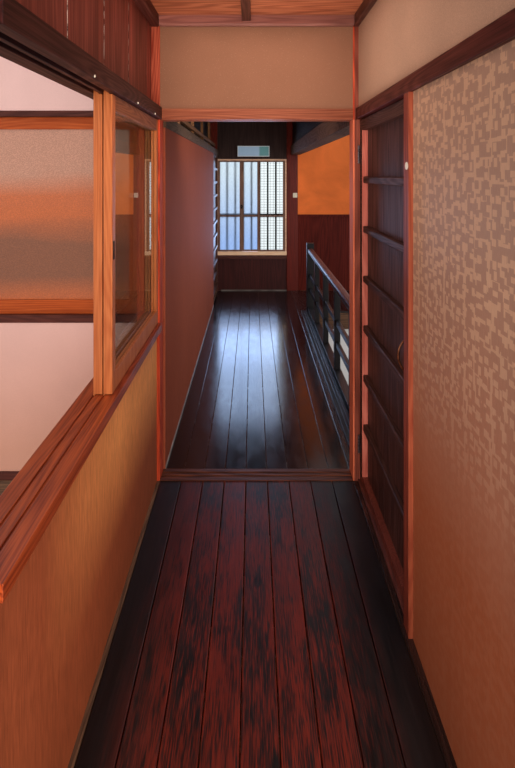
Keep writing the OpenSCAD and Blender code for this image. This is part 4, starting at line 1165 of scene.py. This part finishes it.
@dataclass
class CorridorFloor(Assembly):
    """Beams and joists, the two board floors, the landing and the threshold."""

    pitch: float = 0.1061
    near_joint: tuple[float, float] = (0.0034, 0.0028)
    far_joint: tuple[float, float] = (0.0018, 0.0016)
    edge_board: float = 0.180
    edge_board_face: tuple[float, float] = (0.02, 0.006)
    lift: float = 0.0002
    sway: float = 0.004

    def build(self) -> None:
        """Makes every piece of the floor."""
        beams = self.shop.planed("side_floor_beams", Finishes.sawn, SAWN_EDGE)
        low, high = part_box("far_floor")
        right = -low.x
        inset, sunk = self.edge_board_face
        self.shop.part(beams, Finishes.edge_board, lambda at: at.z > high.z - sunk and at.x > right - inset)
        self.plane(SAWN_EDGE, cross_floor_beams=Finishes.sawn_across)
        self.plane(SOFT_EDGE, floor_joists=Finishes.sawn_across)
        self.plane(CRISP_EDGE, portal_threshold=Finishes.threshold)
        self.planks("near_planks", "near_floor", *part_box("near_floor"), 5)
        self.planks("far_planks", "far_floor", low, Vector((right, high.y, high.z)), 8)
        landing = Vector((right + self.edge_board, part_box("stair_edge_strip")[1].y, low.z))
        self.planks("landing_planks", "far_floor", landing, high, 11)

    def planks(self, name: str, node: str, low: Vector, high: Vector, seed: int) -> None:
        """Lays boards along the corridor.

        Args:
            name: The piece's name.
            node: The floor that they stand for.
            low, high: The corners that they fill.
            seed: Sets how they lie.
        """
        near = node == "near_floor"
        finish = Finishes.near_floor if near else Finishes.far_floor
        joint, edge = self.near_joint if near else self.far_joint
        count = max(1, round((high.x - low.x) / self.pitch))
        pitch = (high.x - low.x) / count
        depth = high.z - low.z - self.lift
        self.shop.row(name, finish, f"{node}_wood", CORRIDOR, node, Count=count, Seed=seed,
                      First=(low.x + pitch / 2, high.y, low.z + depth / 2), Step=(pitch, 0.0, 0.0),
                      Turn=RUN_ALONG, Lift=(0.0, 0.0, self.lift), Sway=(0.0, self.sway, 0.0),
                      Width=pitch - joint, Depth=depth, Length=high.y - low.y, Edge=edge)


@dataclass
class TimberFrame(Assembly):
    """Posts, top plates and ties."""

    lining: float = 0.110

    def build(self) -> None:
        """Planes every timber."""
        self.plane(CRISP_EDGE, near_posts=Finishes.outer_post, outer_posts=Finishes.outer_post)
        head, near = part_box("window_head")[0].z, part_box("portal_posts")[0].y
        posts = self.shop.planed("portal_posts", Finishes.post, CRISP_EDGE, cuts=(("Z", head),))
        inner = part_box("portal_posts")[1].x - self.lining
        # Painted shade on the right post's front, painted light on its side and on the left post over the
        # head
        self.shop.part(posts, Finishes.post_front_shade, lambda at: at.x > inner and at.y < near + SKIN)
        self.shop.part(posts, Finishes.post_side_light, lambda at: 0.0 < at.x < inner and at.z < head)
        self.shop.part(posts, Finishes.post_top_light, lambda at: at.z > head and at.x < 0.0)
        self.plane(CRISP_EDGE, end_posts=Finishes.end_post)
        self.plane(SAWN_EDGE, top_plates=Finishes.sawn, tie_beams=Finishes.sawn_across)


@dataclass
class SlidingWindow(Assembly):
    """Sill, head and two sashes on the left of the near bay, over a papered wall."""

    stile: float = 0.045
    rail_lap: float = 0.008
    pull_height: float = 1.26
    pull_size: tuple[float, float] = (0.018, 0.062)
    pull_rim: float = 0.0025
    pull_inset: float = 0.020
    pull_proud: float = 0.0012
    pull_bed: float = 0.0003
    pin_radius: float = 0.0045
    pin_rise: float = 0.004
    pin_up: float = 0.008
    pins: tuple[float, ...] = (-2.795, -2.145, -1.728)

    def build(self) -> None:
        """Makes every piece of the window wall."""
        self.dress(left_lower_wall=Finishes.gold_paper)
        self.plane(FINE_EDGE, window_sill=Finishes.sill, window_head=Finishes.head)
        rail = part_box("sash_glass")[1].z - self.rail_lap
        for node in ("corridor_sash", "room_side_sash"):
            low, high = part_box(node)
            ends = (low.y + self.stile, high.y - self.stile)
            sash = self.shop.planed(node, Finishes.sash, cuts=(("Z", rail), ("Y", ends[0]), ("Y", ends[1])))
            self.shop.part(sash, Finishes.sash_rail,
                           lambda at: at.z > rail - SKIN and ends[0] < at.y < ends[1])
        self.dress(sash_glass=Finishes.clear)
        self.pull()
        self.pin_row()

    def pull(self) -> None:
        """Makes the small dark pull let into the corridor-side sash: four rims and a back."""
        low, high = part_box("corridor_sash")
        width, height = self.pull_size
        y, z, rim = low.y + self.pull_inset, self.over_floor(self.pull_height), self.pull_rim
        y0, y1, z0, z1 = y - width / 2, y + width / 2, z - height / 2, z + height / 2
        back, front = high.x - SKIN, high.x + self.pull_proud
        self.shop.blocks("sash_pull", Finishes.black_iron, "hinge_brass", [
            (back, y0, z0, front, y0 + rim, z1), (back, y1 - rim, z0, front, y1, z1),
            (back, y0, z0, front, y1, z0 + rim), (back, y0, z1 - rim, front, y1, z1),
            (back, y0, z0, high.x + self.pull_bed, y1, z1)], self.pull_bed)

    def pin_row(self) -> None:
        """Sets the small pale pins along the lower edge of the head."""
        low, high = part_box("window_head")
        spots = [Vector((high.x, y, low.z + self.pin_up)) for y in self.pins]
        self.shop.heads("head_pins", Finishes.ivory, "head_wood", spots, Turn=RUN_ACROSS,
                        Radius=self.pin_radius, Rise=self.pin_rise, Sides=12)


@dataclass
class UpperWork(Assembly):
    """Everything over the head rails of the near bay, with the portal's lintel and panel."""

    pitch: float = 0.405
    joint: float = 0.003
    batten_span: tuple[float, float] = (-0.1, 0.2)
    side_from: float = 0.4
    moulding: float = 0.06
    side_run: float = 0.04
    board_edge: float = 0.0022

    def build(self) -> None:
        """Makes boards, trim, rails and plaster."""
        self.left_boards()
        trim = self.shop.planed("ceiling_trim", Finishes.trim, CRISP_EDGE)
        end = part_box("ceiling_trim")[1].y
        left, right = self.batten_span
        self.shop.part(trim, Finishes.batten, lambda at: left < at.x < right and at.y < end - self.moulding)
        # The right run takes the dark batten's finish, and the left run a dark copy of the trim, which is
        # painted shade
        for finish, side in ((Finishes.batten, 1), (Finishes.left_run_shade, -1)):
            self.shop.part(trim, finish,
                           lambda at: at.x * side > self.side_from and at.y < end - self.side_run)
        self.plane(PLANED_EDGE, right_head=Finishes.surround_run)
        self.plane(SOFT_EDGE, portal_lintel=Finishes.lintel)
        self.dress(ceiling_boards=Finishes.ceiling, right_upper_wall=Finishes.sand,
                   portal_panel=Finishes.panel)

    def left_boards(self) -> None:
        """Sets wide upright boards over the window, with a V joint between them."""
        low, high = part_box("left_upper_boards")
        span = high.y - low.y
        whole = int(span / self.pitch)
        side = (span - whole * self.pitch) / 2
        for name, count, start, width, step, joint, seed in (
                ("upper_boards", whole, side, self.pitch, self.pitch, self.joint, 21),
                ("upper_end_boards", 2, 0.0, side, span - side, self.joint / 2, 22)):
            self.shop.row(name, Finishes.upper_board, "upper_board_wood", CORRIDOR, "left_upper_boards",
                          Count=count, Seed=seed, Step=(0.0, step, 0.0), Depth=width - joint,
                          First=((low.x + high.x) / 2, low.y + start + width / 2, low.z),
                          Width=high.x - low.x, Length=high.z - low.z, Edge=self.board_edge)


@dataclass
class DoorWall(Assembly):
    """The papered wall and the doorway's jamb, sill, stops and hinges."""

    tag_height: float = 1.543
    tag_size: tuple[float, float] = (0.036, 0.026)
    tag_thick: float = 0.0016
    tag_inset: float = 0.6
    tag_gap: float = 0.0002
    tag_edge: tuple[float, float] = (0.0005, 60)
    # Depth from the jamb's near face within which faces take the lighter copy: painted light
    lit_face_depth: float = 0.0018

    def build(self) -> None:
        """Makes every fixed piece of the door wall."""
        self.dress(right_lower_wall=Finishes.block_paper, post_hinges=Finishes.hinge_steel)
        self.plane(PLANED_EDGE, door_stops=Finishes.surround)
        jamb = self.shop.planed("door_jamb", Finishes.surround)
        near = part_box("door_jamb")[0].y
        # Painted light: the jamb's face towards the near end takes a lighter copy of its wood
        self.shop.part(jamb, Finishes.surround_lit_face, lambda at: at.y < near + self.lit_face_depth)
        self.plane(PLANED_EDGE, door_sill=Finishes.sill_run)
        self.tag()

    def tag(self) -> None:
        """Makes the small bare oval tag on the jamb."""
        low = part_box("door_jamb")[0]
        shape = bmesh.new()
        bmesh.ops.create_circle(shape, cap_ends=True, radius=1.0, segments=32)
        for vert in shape.verts:
            x, y = vert.co.x, vert.co.y
            vert.co = Vector((low.x - self.tag_gap, low.y + (self.tag_inset + x / 2) * self.tag_size[0],
                              self.over_floor(self.tag_height) + y * self.tag_size[1] / 2))
        self.shop.thicken(shape, Vector((-self.tag_thick, 0.0, 0.0)))
        self.shop.round_edges(shape, *self.tag_edge)
        self.shop.finish(shape, "jamb_tag", Finishes.ivory, "surround_wood")


@dataclass
class BoardDoor(Assembly):
    """The swinging door: frame, boards, pull, hinges and their screws."""

    stile: float = 0.055
    lap: float = 0.002
    top_rail: float = 0.052
    rail_clear: float = 0.033
    edge: float = 0.0022
    screw_radius: float = 0.0036
    screw_rise: float = 0.0008
    screw_from: tuple[float, float] = (0.024, 0.0025)
    screw_stagger: float = 0.006
    screws_a_hinge: int = 3

    def build(self) -> None:
        """Makes every piece that swings."""
        leaf = self.shop.planed("door_frame", Finishes.door, self.edge, DOOR)
        low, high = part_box("door_frame")
        foot, top = low.z + self.rail_clear, high.z - self.top_rail
        left, right = low.y + self.stile - self.lap, high.y - self.stile + self.lap
        # The rails take a darker copy of the door's wood, and the hinge-side stile a lighter copy, which is
        # painted light
        self.shop.part(leaf, Finishes.door_rail, lambda at: left < at.y < right and foot < at.z < top)
        self.shop.part(leaf, Finishes.lit_door_stile, lambda at: at.y > high.y - self.stile)
        self.dress(door_boards=Finishes.door_boards, door_pull=Finishes.brass,
                   door_hinges=Finishes.hinge_steel)
        self.screws()

    def screws(self) -> None:
        """Sets the screw heads on the hinge plates that the open door shows."""
        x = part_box("door_hinges")[0].x + self.screw_from[0]
        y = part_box("door_frame")[1].y + self.screw_from[1]
        count = self.screws_a_hinge
        spots = [Vector((x + self.screw_stagger * (i % 2), y, z0 + (z1 - z0) * (i + 0.5) / count))
                 for z0, z1 in self.hinge_spans() for i in range(count)]
        self.shop.heads("hinge_screws", Finishes.hinge_steel, "hinge_brass", spots, DOOR,
                        Turn=(math.radians(-90), 0.0, 0.0), Radius=self.screw_radius,
                        Rise=self.screw_rise, Sides=16)

    @staticmethod
    def hinge_spans() -> list[tuple[float, float]]:
        """Finds the hinges in their node.

        Returns:
            The bottom and top of each.
        """
        heights = [v.co.z for v in frame["nodes"]["door_hinges"].data.vertices]
        middle = (min(heights) + max(heights)) / 2
        lower, upper = [z for z in heights if z < middle], [z for z in heights if z > middle]
        return [(min(lower), max(lower)), (min(upper), max(upper))]


@dataclass
class LongWall(Assembly):
    """The papered wall of the far bay, its rail, struts, slatted door, boards and ceiling."""

    strip_height: float = 0.016
    strip_depth: float = 0.004

    def build(self) -> None:
        """Makes every piece of the far bay's left side and top."""
        self.plane(SOFT_EDGE, long_wall_rail=Finishes.long_rail)
        self.plane(CRISP_EDGE, transom_bar=Finishes.strut)
        self.plane(PLANED_EDGE, slatted_door=Finishes.slats)
        self.dress(far_left_wall=Finishes.brown_paper, far_upper_boards=Finishes.dark,
                   far_ceiling=Finishes.dark)
        low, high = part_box("far_left_wall")
        self.shop.blocks("wall_foot_strip", Finishes.wall_strip, "rail_wood", [
            (high.x - SKIN, low.y + SKIN, low.z,
             high.x + self.strip_depth, high.y - SKIN, low.z + self.strip_height)])


@dataclass
class Stairwell(Assembly):
    """The beam over the stairwell, and the railing beside it."""

    hand_rail: float = 0.006
    post_edge: float = 0.0024

    def build(self) -> None:
        """Planes every timber of the stairwell's side."""
        self.plane(SAWN_EDGE, stair_beam=Finishes.stair_beam)
        self.plane(self.post_edge, stair_posts=Finishes.railing_post)
        rails = self.shop.planed("stair_rails", Finishes.railing)
        worn_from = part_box("stair_rails")[1].z - self.hand_rail
        self.shop.part(rails, Finishes.hand_rail, lambda at: at.z > worn_from)
        self.plane(PLANED_EDGE, stair_edge_strip=Finishes.railing)


@dataclass
class EndWindow(Assembly):
    """The end wall: window, panes, screen, latch, wainscot, lattice, lamp box and switch plate."""

    side_from: float = 0.5
    clear_from: float = 0.055
    foot_rise: float = 0.004
    cladding_edge: float = 0.0010
    wire_pitches: tuple[float, float] = (0.034, 0.041)
    wire: float = 0.0028
    wire_off: float = 0.006
    strip_size: tuple[float, float] = (0.006, 0.012)
    strip_inset: float = 0.05
    latch_place: tuple[float, float] = (-0.168, 1.09)
    latch_radius: float = 0.022
    latch_thick: float = 0.006
    latch_steps: int = 12
    latch_sweep: float = 160
    latch_flat: float = 0.8
    latch_arcs: tuple[tuple[int, float, float, float], ...] = ((1, 0.006, 1.0, 1.0), (-1, 0.002, 0.62, 0.8))
    latch_base: tuple[float, float, float] = (0.007, 0.004, 0.026)
    latch_edge: float = 0.0015
    plate_height: float = 1.24
    plate_inset: float = 0.036
    plate: tuple[float, float, float, float] = (0.028, 0.005, 0.030, 0.0)
    rocker: tuple[float, float, float, float] = (0.009, 0.008, 0.013, 0.004)
    plate_edge: float = 0.002
    box_span: tuple[float, float] = (-0.214, 0.200)
    box_heights: tuple[float, float] = (1.743, 1.880)
    box_depth: float = 0.030
    box_rim: float = 0.009
    box_edges: tuple[float, float] = (0.0015, 0.0008)
    face_sunk: float = 0.003

    def build(self) -> None:
        """Makes every piece of the end wall."""
        border = self.shop.planed("end_window_frame", Finishes.window_frame)
        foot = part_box("end_window_sashes")[0].z + self.foot_rise
        # Painted light: the frame's foot, below the sashes, takes a paler copy of the frame's finish
        self.shop.part(border, Finishes.lit_frame_foot, lambda at: at.z < foot)
        self.plane(CRISP_EDGE, end_window_sashes=Finishes.window_sash)
        # Painted shade: the recessed board under the window frame is darkened as in its shadow
        self.plane(SOFT_EDGE, end_window_sill=Finishes.window_board_shade)
        # Painted shade: the lattice bars are near black, as bars seen against the light
        self.plane(FINE_EDGE, window_lattice=Finishes.lattice)
        cladding = self.shop.planed("end_wainscot", Finishes.wainscot, self.cladding_edge)
        self.shop.part(cladding, Finishes.side_wainscot, lambda at: at.x > self.side_from)
        self.dress(end_upper_wall=Finishes.upper_end, side_end_wall=Finishes.orange)
        self.foot_strip()
        self.screen(self.panes())
        self.latch()
        self.lamp_box()
        self.switch_plate()

    def panes(self) -> Object:
        """Parts the three panes, two frosted and one clear.

        Returns:
            The clear one.
        """
        shape = self.shop.copy_of("end_window_glass")
        for name, finish, side in (("frosted_panes", Finishes.frosted, -1),
                                   ("clear_end_pane", Finishes.clear, 1)):
            pane = shape.copy()
            away = [v for v in pane.verts if (v.co.x - self.clear_from) * side < 0]
            bmesh.ops.delete(pane, geom=away, context="VERTS")
            self.shop.join_flats(pane)
            piece = self.shop.finish(pane, name, finish, "frosted_glass", CORRIDOR, "end_window_glass")
        shape.free()
        return piece

    def screen(self, pane: Object) -> None:
        """Hangs a screen of wires.

        Args:
            pane: The pane that it hangs before.
        """
        low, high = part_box("end_window_glass")
        x0, x1 = (pick(v.co.x for v in pane.data.vertices) for pick in (min, max))
        y = max(v.co.y for v in pane.data.vertices) + self.wire_off
        rise, stride = self.wire_pitches
        common = {"Width": self.wire, "Depth": self.wire, "Edge": 0.0}
        self.shop.row("screen_wires_across", Finishes.black_iron, "window_frame_wood",
                      Count=int((high.z - low.z) / rise), First=(x0, y, low.z + rise / 2),
                      Step=(0.0, 0.0, rise), Turn=RUN_ACROSS, Length=x1 - x0, **common)
        self.shop.row("screen_wires_up", Finishes.black_iron, "window_frame_wood",
                      Count=int((x1 - x0) / stride), First=(x0 + stride / 2, y + self.wire, low.z),
                      Step=(stride, 0.0, 0.0), Length=high.z - low.z, **common)

    def foot_strip(self) -> None:
        """Runs a pale strip along the foot of the cladding under the window; its paleness is a painted
        highlight.
        """
        face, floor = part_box("end_wainscot")[0].y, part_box("far_floor")[1].z
        low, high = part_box("end_window_frame")
        depth, height = self.strip_size
        self.shop.blocks("wainscot_foot_strip", Finishes.foot_strip, "rail_wood", [
            (low.x + self.strip_inset, face - depth, floor, high.x, face + SKIN, floor + height)])

    def latch(self) -> None:
        """Makes the small black crescent latch on the left light's right stile.

        Each of its two arcs is a direction, a shift to the right, and shares of its width and height.
        """
        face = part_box("end_window_sashes")[0].y
        x, z = self.latch_place[0], self.over_floor(self.latch_place[1])
        angles = [math.radians(-self.latch_sweep / 2 + self.latch_sweep * i / self.latch_steps)
                  for i in range(self.latch_steps + 1)]
        points = []
        for turn, off, wide, tall in self.latch_arcs:
            for angle in angles[::turn]:
                points.append((x + off + self.latch_radius * wide * math.cos(angle) * self.latch_flat,
                               z + self.latch_radius * tall * math.sin(angle)))
        shape = bmesh.new()
        shape.faces.new([shape.verts.new((px, face - self.latch_thick, pz)) for px, pz in points])
        self.shop.thicken(shape, Vector((0.0, self.latch_thick, 0.0)))
        self.shop.finish(shape, "window_latch", Finishes.black_iron, "hinge_brass")
        half, depth, tall = self.latch_base
        self.shop.blocks("latch_base", Finishes.black_iron, "hinge_brass", [
            (x - half, face - depth, z - tall, x + half, face + SKIN, z + tall)], self.latch_edge)

    def lamp_box(self) -> None:
        """Makes the shallow lamp box over the window: a pale rim and a bare lit face."""
        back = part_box("end_upper_wall")[0].y
        x0, x1 = self.box_span
        z0, z1 = (self.over_floor(height) for height in self.box_heights)
        y0, rim = back - self.box_depth, self.box_rim
        rim_edge, face_edge = self.box_edges
        self.shop.blocks("lamp_box_rim", Finishes.box_rim, "window_frame_wood", [
            (x0, y0, z0, x1, back, z0 + rim), (x0, y0, z1 - rim, x1, back, z1),
            (x0, y0, z0 + rim, x0 + rim, back, z1 - rim), (x1 - rim, y0, z0 + rim, x1, back, z1 - rim)],
            rim_edge)
        self.shop.blocks("lamp_box_face", Finishes.lamp_face, "frosted_glass", [
            (x0 + rim, y0 + self.face_sunk, z0 + rim, x1 - rim, back, z1 - rim)], face_edge)

    def switch_plate(self) -> None:
        """Makes the small bare switch plate on the heavy end post.

        Plate and rocker are half a width, how far the front stands off, half a height, and how far the
        back stands off.
        """
        low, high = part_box("end_posts")
        x, z = high.x - self.plate_inset, self.over_floor(self.plate_height)
        self.shop.blocks("switch_plate", Finishes.ivory, "end_post_wood", [
            (x - half, low.y - front, z - tall, x + half, low.y - back, z + tall)
            for half, front, tall, back in (self.plate, self.rocker)], self.plate_edge)


@dataclass
class RoomPartition(Assembly):
    """The piece of the left room's wall that shows through the sliding window."""

    def build(self) -> None:
        """Makes every piece of the partition."""
        self.plane(SOFT_EDGE, partition_timbers=Finishes.partition)
        self.plane(PLANED_EDGE, partition_sash=Finishes.room_sash)
        self.dress(partition_walls=Finishes.white, partition_glass=Finishes.obscured)


@dataclass(frozen=True)
class Lamp:
    """A soft lamp that the camera doesn't see. It turns about X and Z, in degrees."""

    name: str
    place: tuple[float, float, float]
    turn: tuple[float, float]
    size: tuple[float, float]
    power: float
    spread: float = 180.0
    colour: Colour = srgb(255, 244, 232)
    shines: bool = False

    def hang(self) -> None:
        """Hangs the lamp. One that shines shows in waxed floors."""
        light = bpy.data.lights.new(self.name, "AREA")
        light.shape, light.size, light.size_y = "RECTANGLE", *self.size
        light.energy, light.color, light.spread = self.power, self.colour[:3], math.radians(self.spread)
        lamp = bpy.data.objects.new(self.name, light)
        lamp.location = self.place
        lamp.rotation_euler = (math.radians(self.turn[0]), 0.0, math.radians(self.turn[1]))
        lamp.visible_camera = lamp.visible_transmission = False
        lamp.visible_glossy = self.shines
        bpy.context.scene.collection.objects.link(lamp)


@dataclass
class Studio:
    """The pale floor, the soft lamps, the world and the camera."""

    floor_span: float = 60.0
    eye: tuple[float, float, float] = (-0.020, -4.515, 1.716)
    image: tuple[int, int] = (515, 768)
    focal_px: float = 607.5
    vanishing_px: tuple[float, float] = (252.5, 174.0)
    long_side_mm: float = 36.0
    ambient: float = 0.85
    daylight: float = 1.15
    floor_glow: float = 1.1
    cool: Colour = srgb(176, 206, 255)
    white: Colour = srgb(246, 250, 255)

    def build(self) -> None:
        """Makes the stage, the lights and the camera."""
        self.floor()
        self.world()
        for lamp in (
                Lamp("near_end", (0.0, -6.2, 1.50), (90, 0), (1.4, 1.3), 37.0, 85),
                Lamp("near_top", (0.0, -2.3, 2.44), (0, 0), (0.7, 1.4), 5.0),
                Lamp("near_up", (0.0, -2.1, 1.10), (180, 0), (0.5, 1.0), 5.5, 90),
                Lamp("near_left", (-0.44, -3.0, 0.62), (90, -90), (1.0, 0.7), 1.5),
                Lamp("near_right", (0.46, -3.0, 0.62), (90, 90), (1.0, 0.7), 3.2),
                Lamp("portal_back", (0.0, -1.30, 2.22), (80, 0), (0.6, 0.3), 5.0, 80),
                Lamp("far_top", (0.0, 1.0, 2.46), (0, 0), (0.5, 4.2), 5.5, 130),
                Lamp("window_light", (-0.076, 3.36, 1.20), (-84, 0), (0.77, 1.36), 4.5, 120, self.cool, True),
                Lamp("window_foot_light", (-0.076, 3.35, 0.84), (-84, 0), (0.77, 0.60), 1.25, 120, self.cool,
                     True),
                Lamp("stair_side", (1.45, 0.3, 1.9), (90, 45), (2.6, 1.2), 10.0),
                Lamp("room_side", (-1.9, -3.0, 1.9), (80, -55), (1.6, 1.6), 7.0)):
            lamp.hang()
        self.camera()
        bpy.context.scene.view_settings.view_transform = "Standard"

    def floor(self) -> None:
        """Lays the pale floor."""
        half = self.floor_span / 2
        mesh = bpy.data.meshes.new("studio_floor")
        mesh.from_pydata([(-half, -half, 0), (half, -half, 0), (half, half, 0), (-half, half, 0)], [],
                         [(0, 1, 2, 3)])
        shade = Shade("pale_floor")
        shade.put(Base_Color=srgb(226, 224, 220), Roughness=0.9)
        glow = shade.add("ShaderNodeEmission", {"Color": self.white, "Strength": self.floor_glow})
        shade.show(shade.choose(shade.ray("Transmission"), shade.surface.outputs["BSDF"], glow))
        piece = bpy.data.objects.new("studio_floor", mesh)
        mesh.materials.append(shade.material)
        bpy.context.scene.collection.objects.link(piece)

    def world(self) -> None:
        """Sets a pale sky: plain light on the object, and near white where it is seen itself."""
        world = bpy.data.worlds.new("pale_sky")
        bpy.context.scene.world = world
        world.use_nodes = True
        world.node_tree.nodes.clear()
        sky = Wiring(world.node_tree)
        through = sky.ray("Transmission")
        strength = sky.add("ShaderNodeMath", {0: through, 1: self.daylight - 1.0, 2: 1.0},
                           operation="MULTIPLY_ADD")
        light = sky.add("ShaderNodeBackground", {"Color": srgb(244, 246, 250), "Strength": self.ambient})
        seen = sky.add("ShaderNodeBackground", {"Color": self.white, "Strength": strength})
        itself = sky.sum("MAXIMUM", sky.sum("MAXIMUM", sky.ray("Camera"), sky.ray("Glossy")), through)
        output = sky.tree.nodes.new("ShaderNodeOutputWorld")
        sky.tree.links.new(sky.choose(itself, light, seen), output.inputs["Surface"])

    def camera(self) -> None:
        """Sets the camera level, straight down the corridor, with the photograph's framing."""
        data = bpy.data.cameras.new("corridor_camera")
        long_side = max(self.image)
        data.sensor_width = self.long_side_mm
        data.lens = self.focal_px / long_side * self.long_side_mm
        data.shift_x = (self.image[0] / 2 - self.vanishing_px[0]) / long_side
        data.shift_y = (self.vanishing_px[1] - self.image[1] / 2) / long_side
        data.clip_start = 0.02
        camera = bpy.data.objects.new("corridor_camera", data)
        camera.location = self.eye
        camera.rotation_euler = (math.radians(90), 0.0, 0.0)
        bpy.context.scene.collection.objects.link(camera)
        bpy.context.scene.camera = camera


def main() -> None:
    """Builds the studio and every sub-assembly."""
    logging.basicConfig(level=logging.INFO, format="%(name)s %(message)s")
    Studio().build()
    shop = Workshop()
    for assembly in (CorridorFloor, TimberFrame, SlidingWindow, UpperWork, DoorWall, BoardDoor, LongWall,
                     Stairwell, EndWindow, RoomPartition):
        log.info("building %s", assembly.__name__)
        assembly(shop).build()
    log.info("%d pieces made", len(shop.made))


if __name__ == "__main__":
    main()
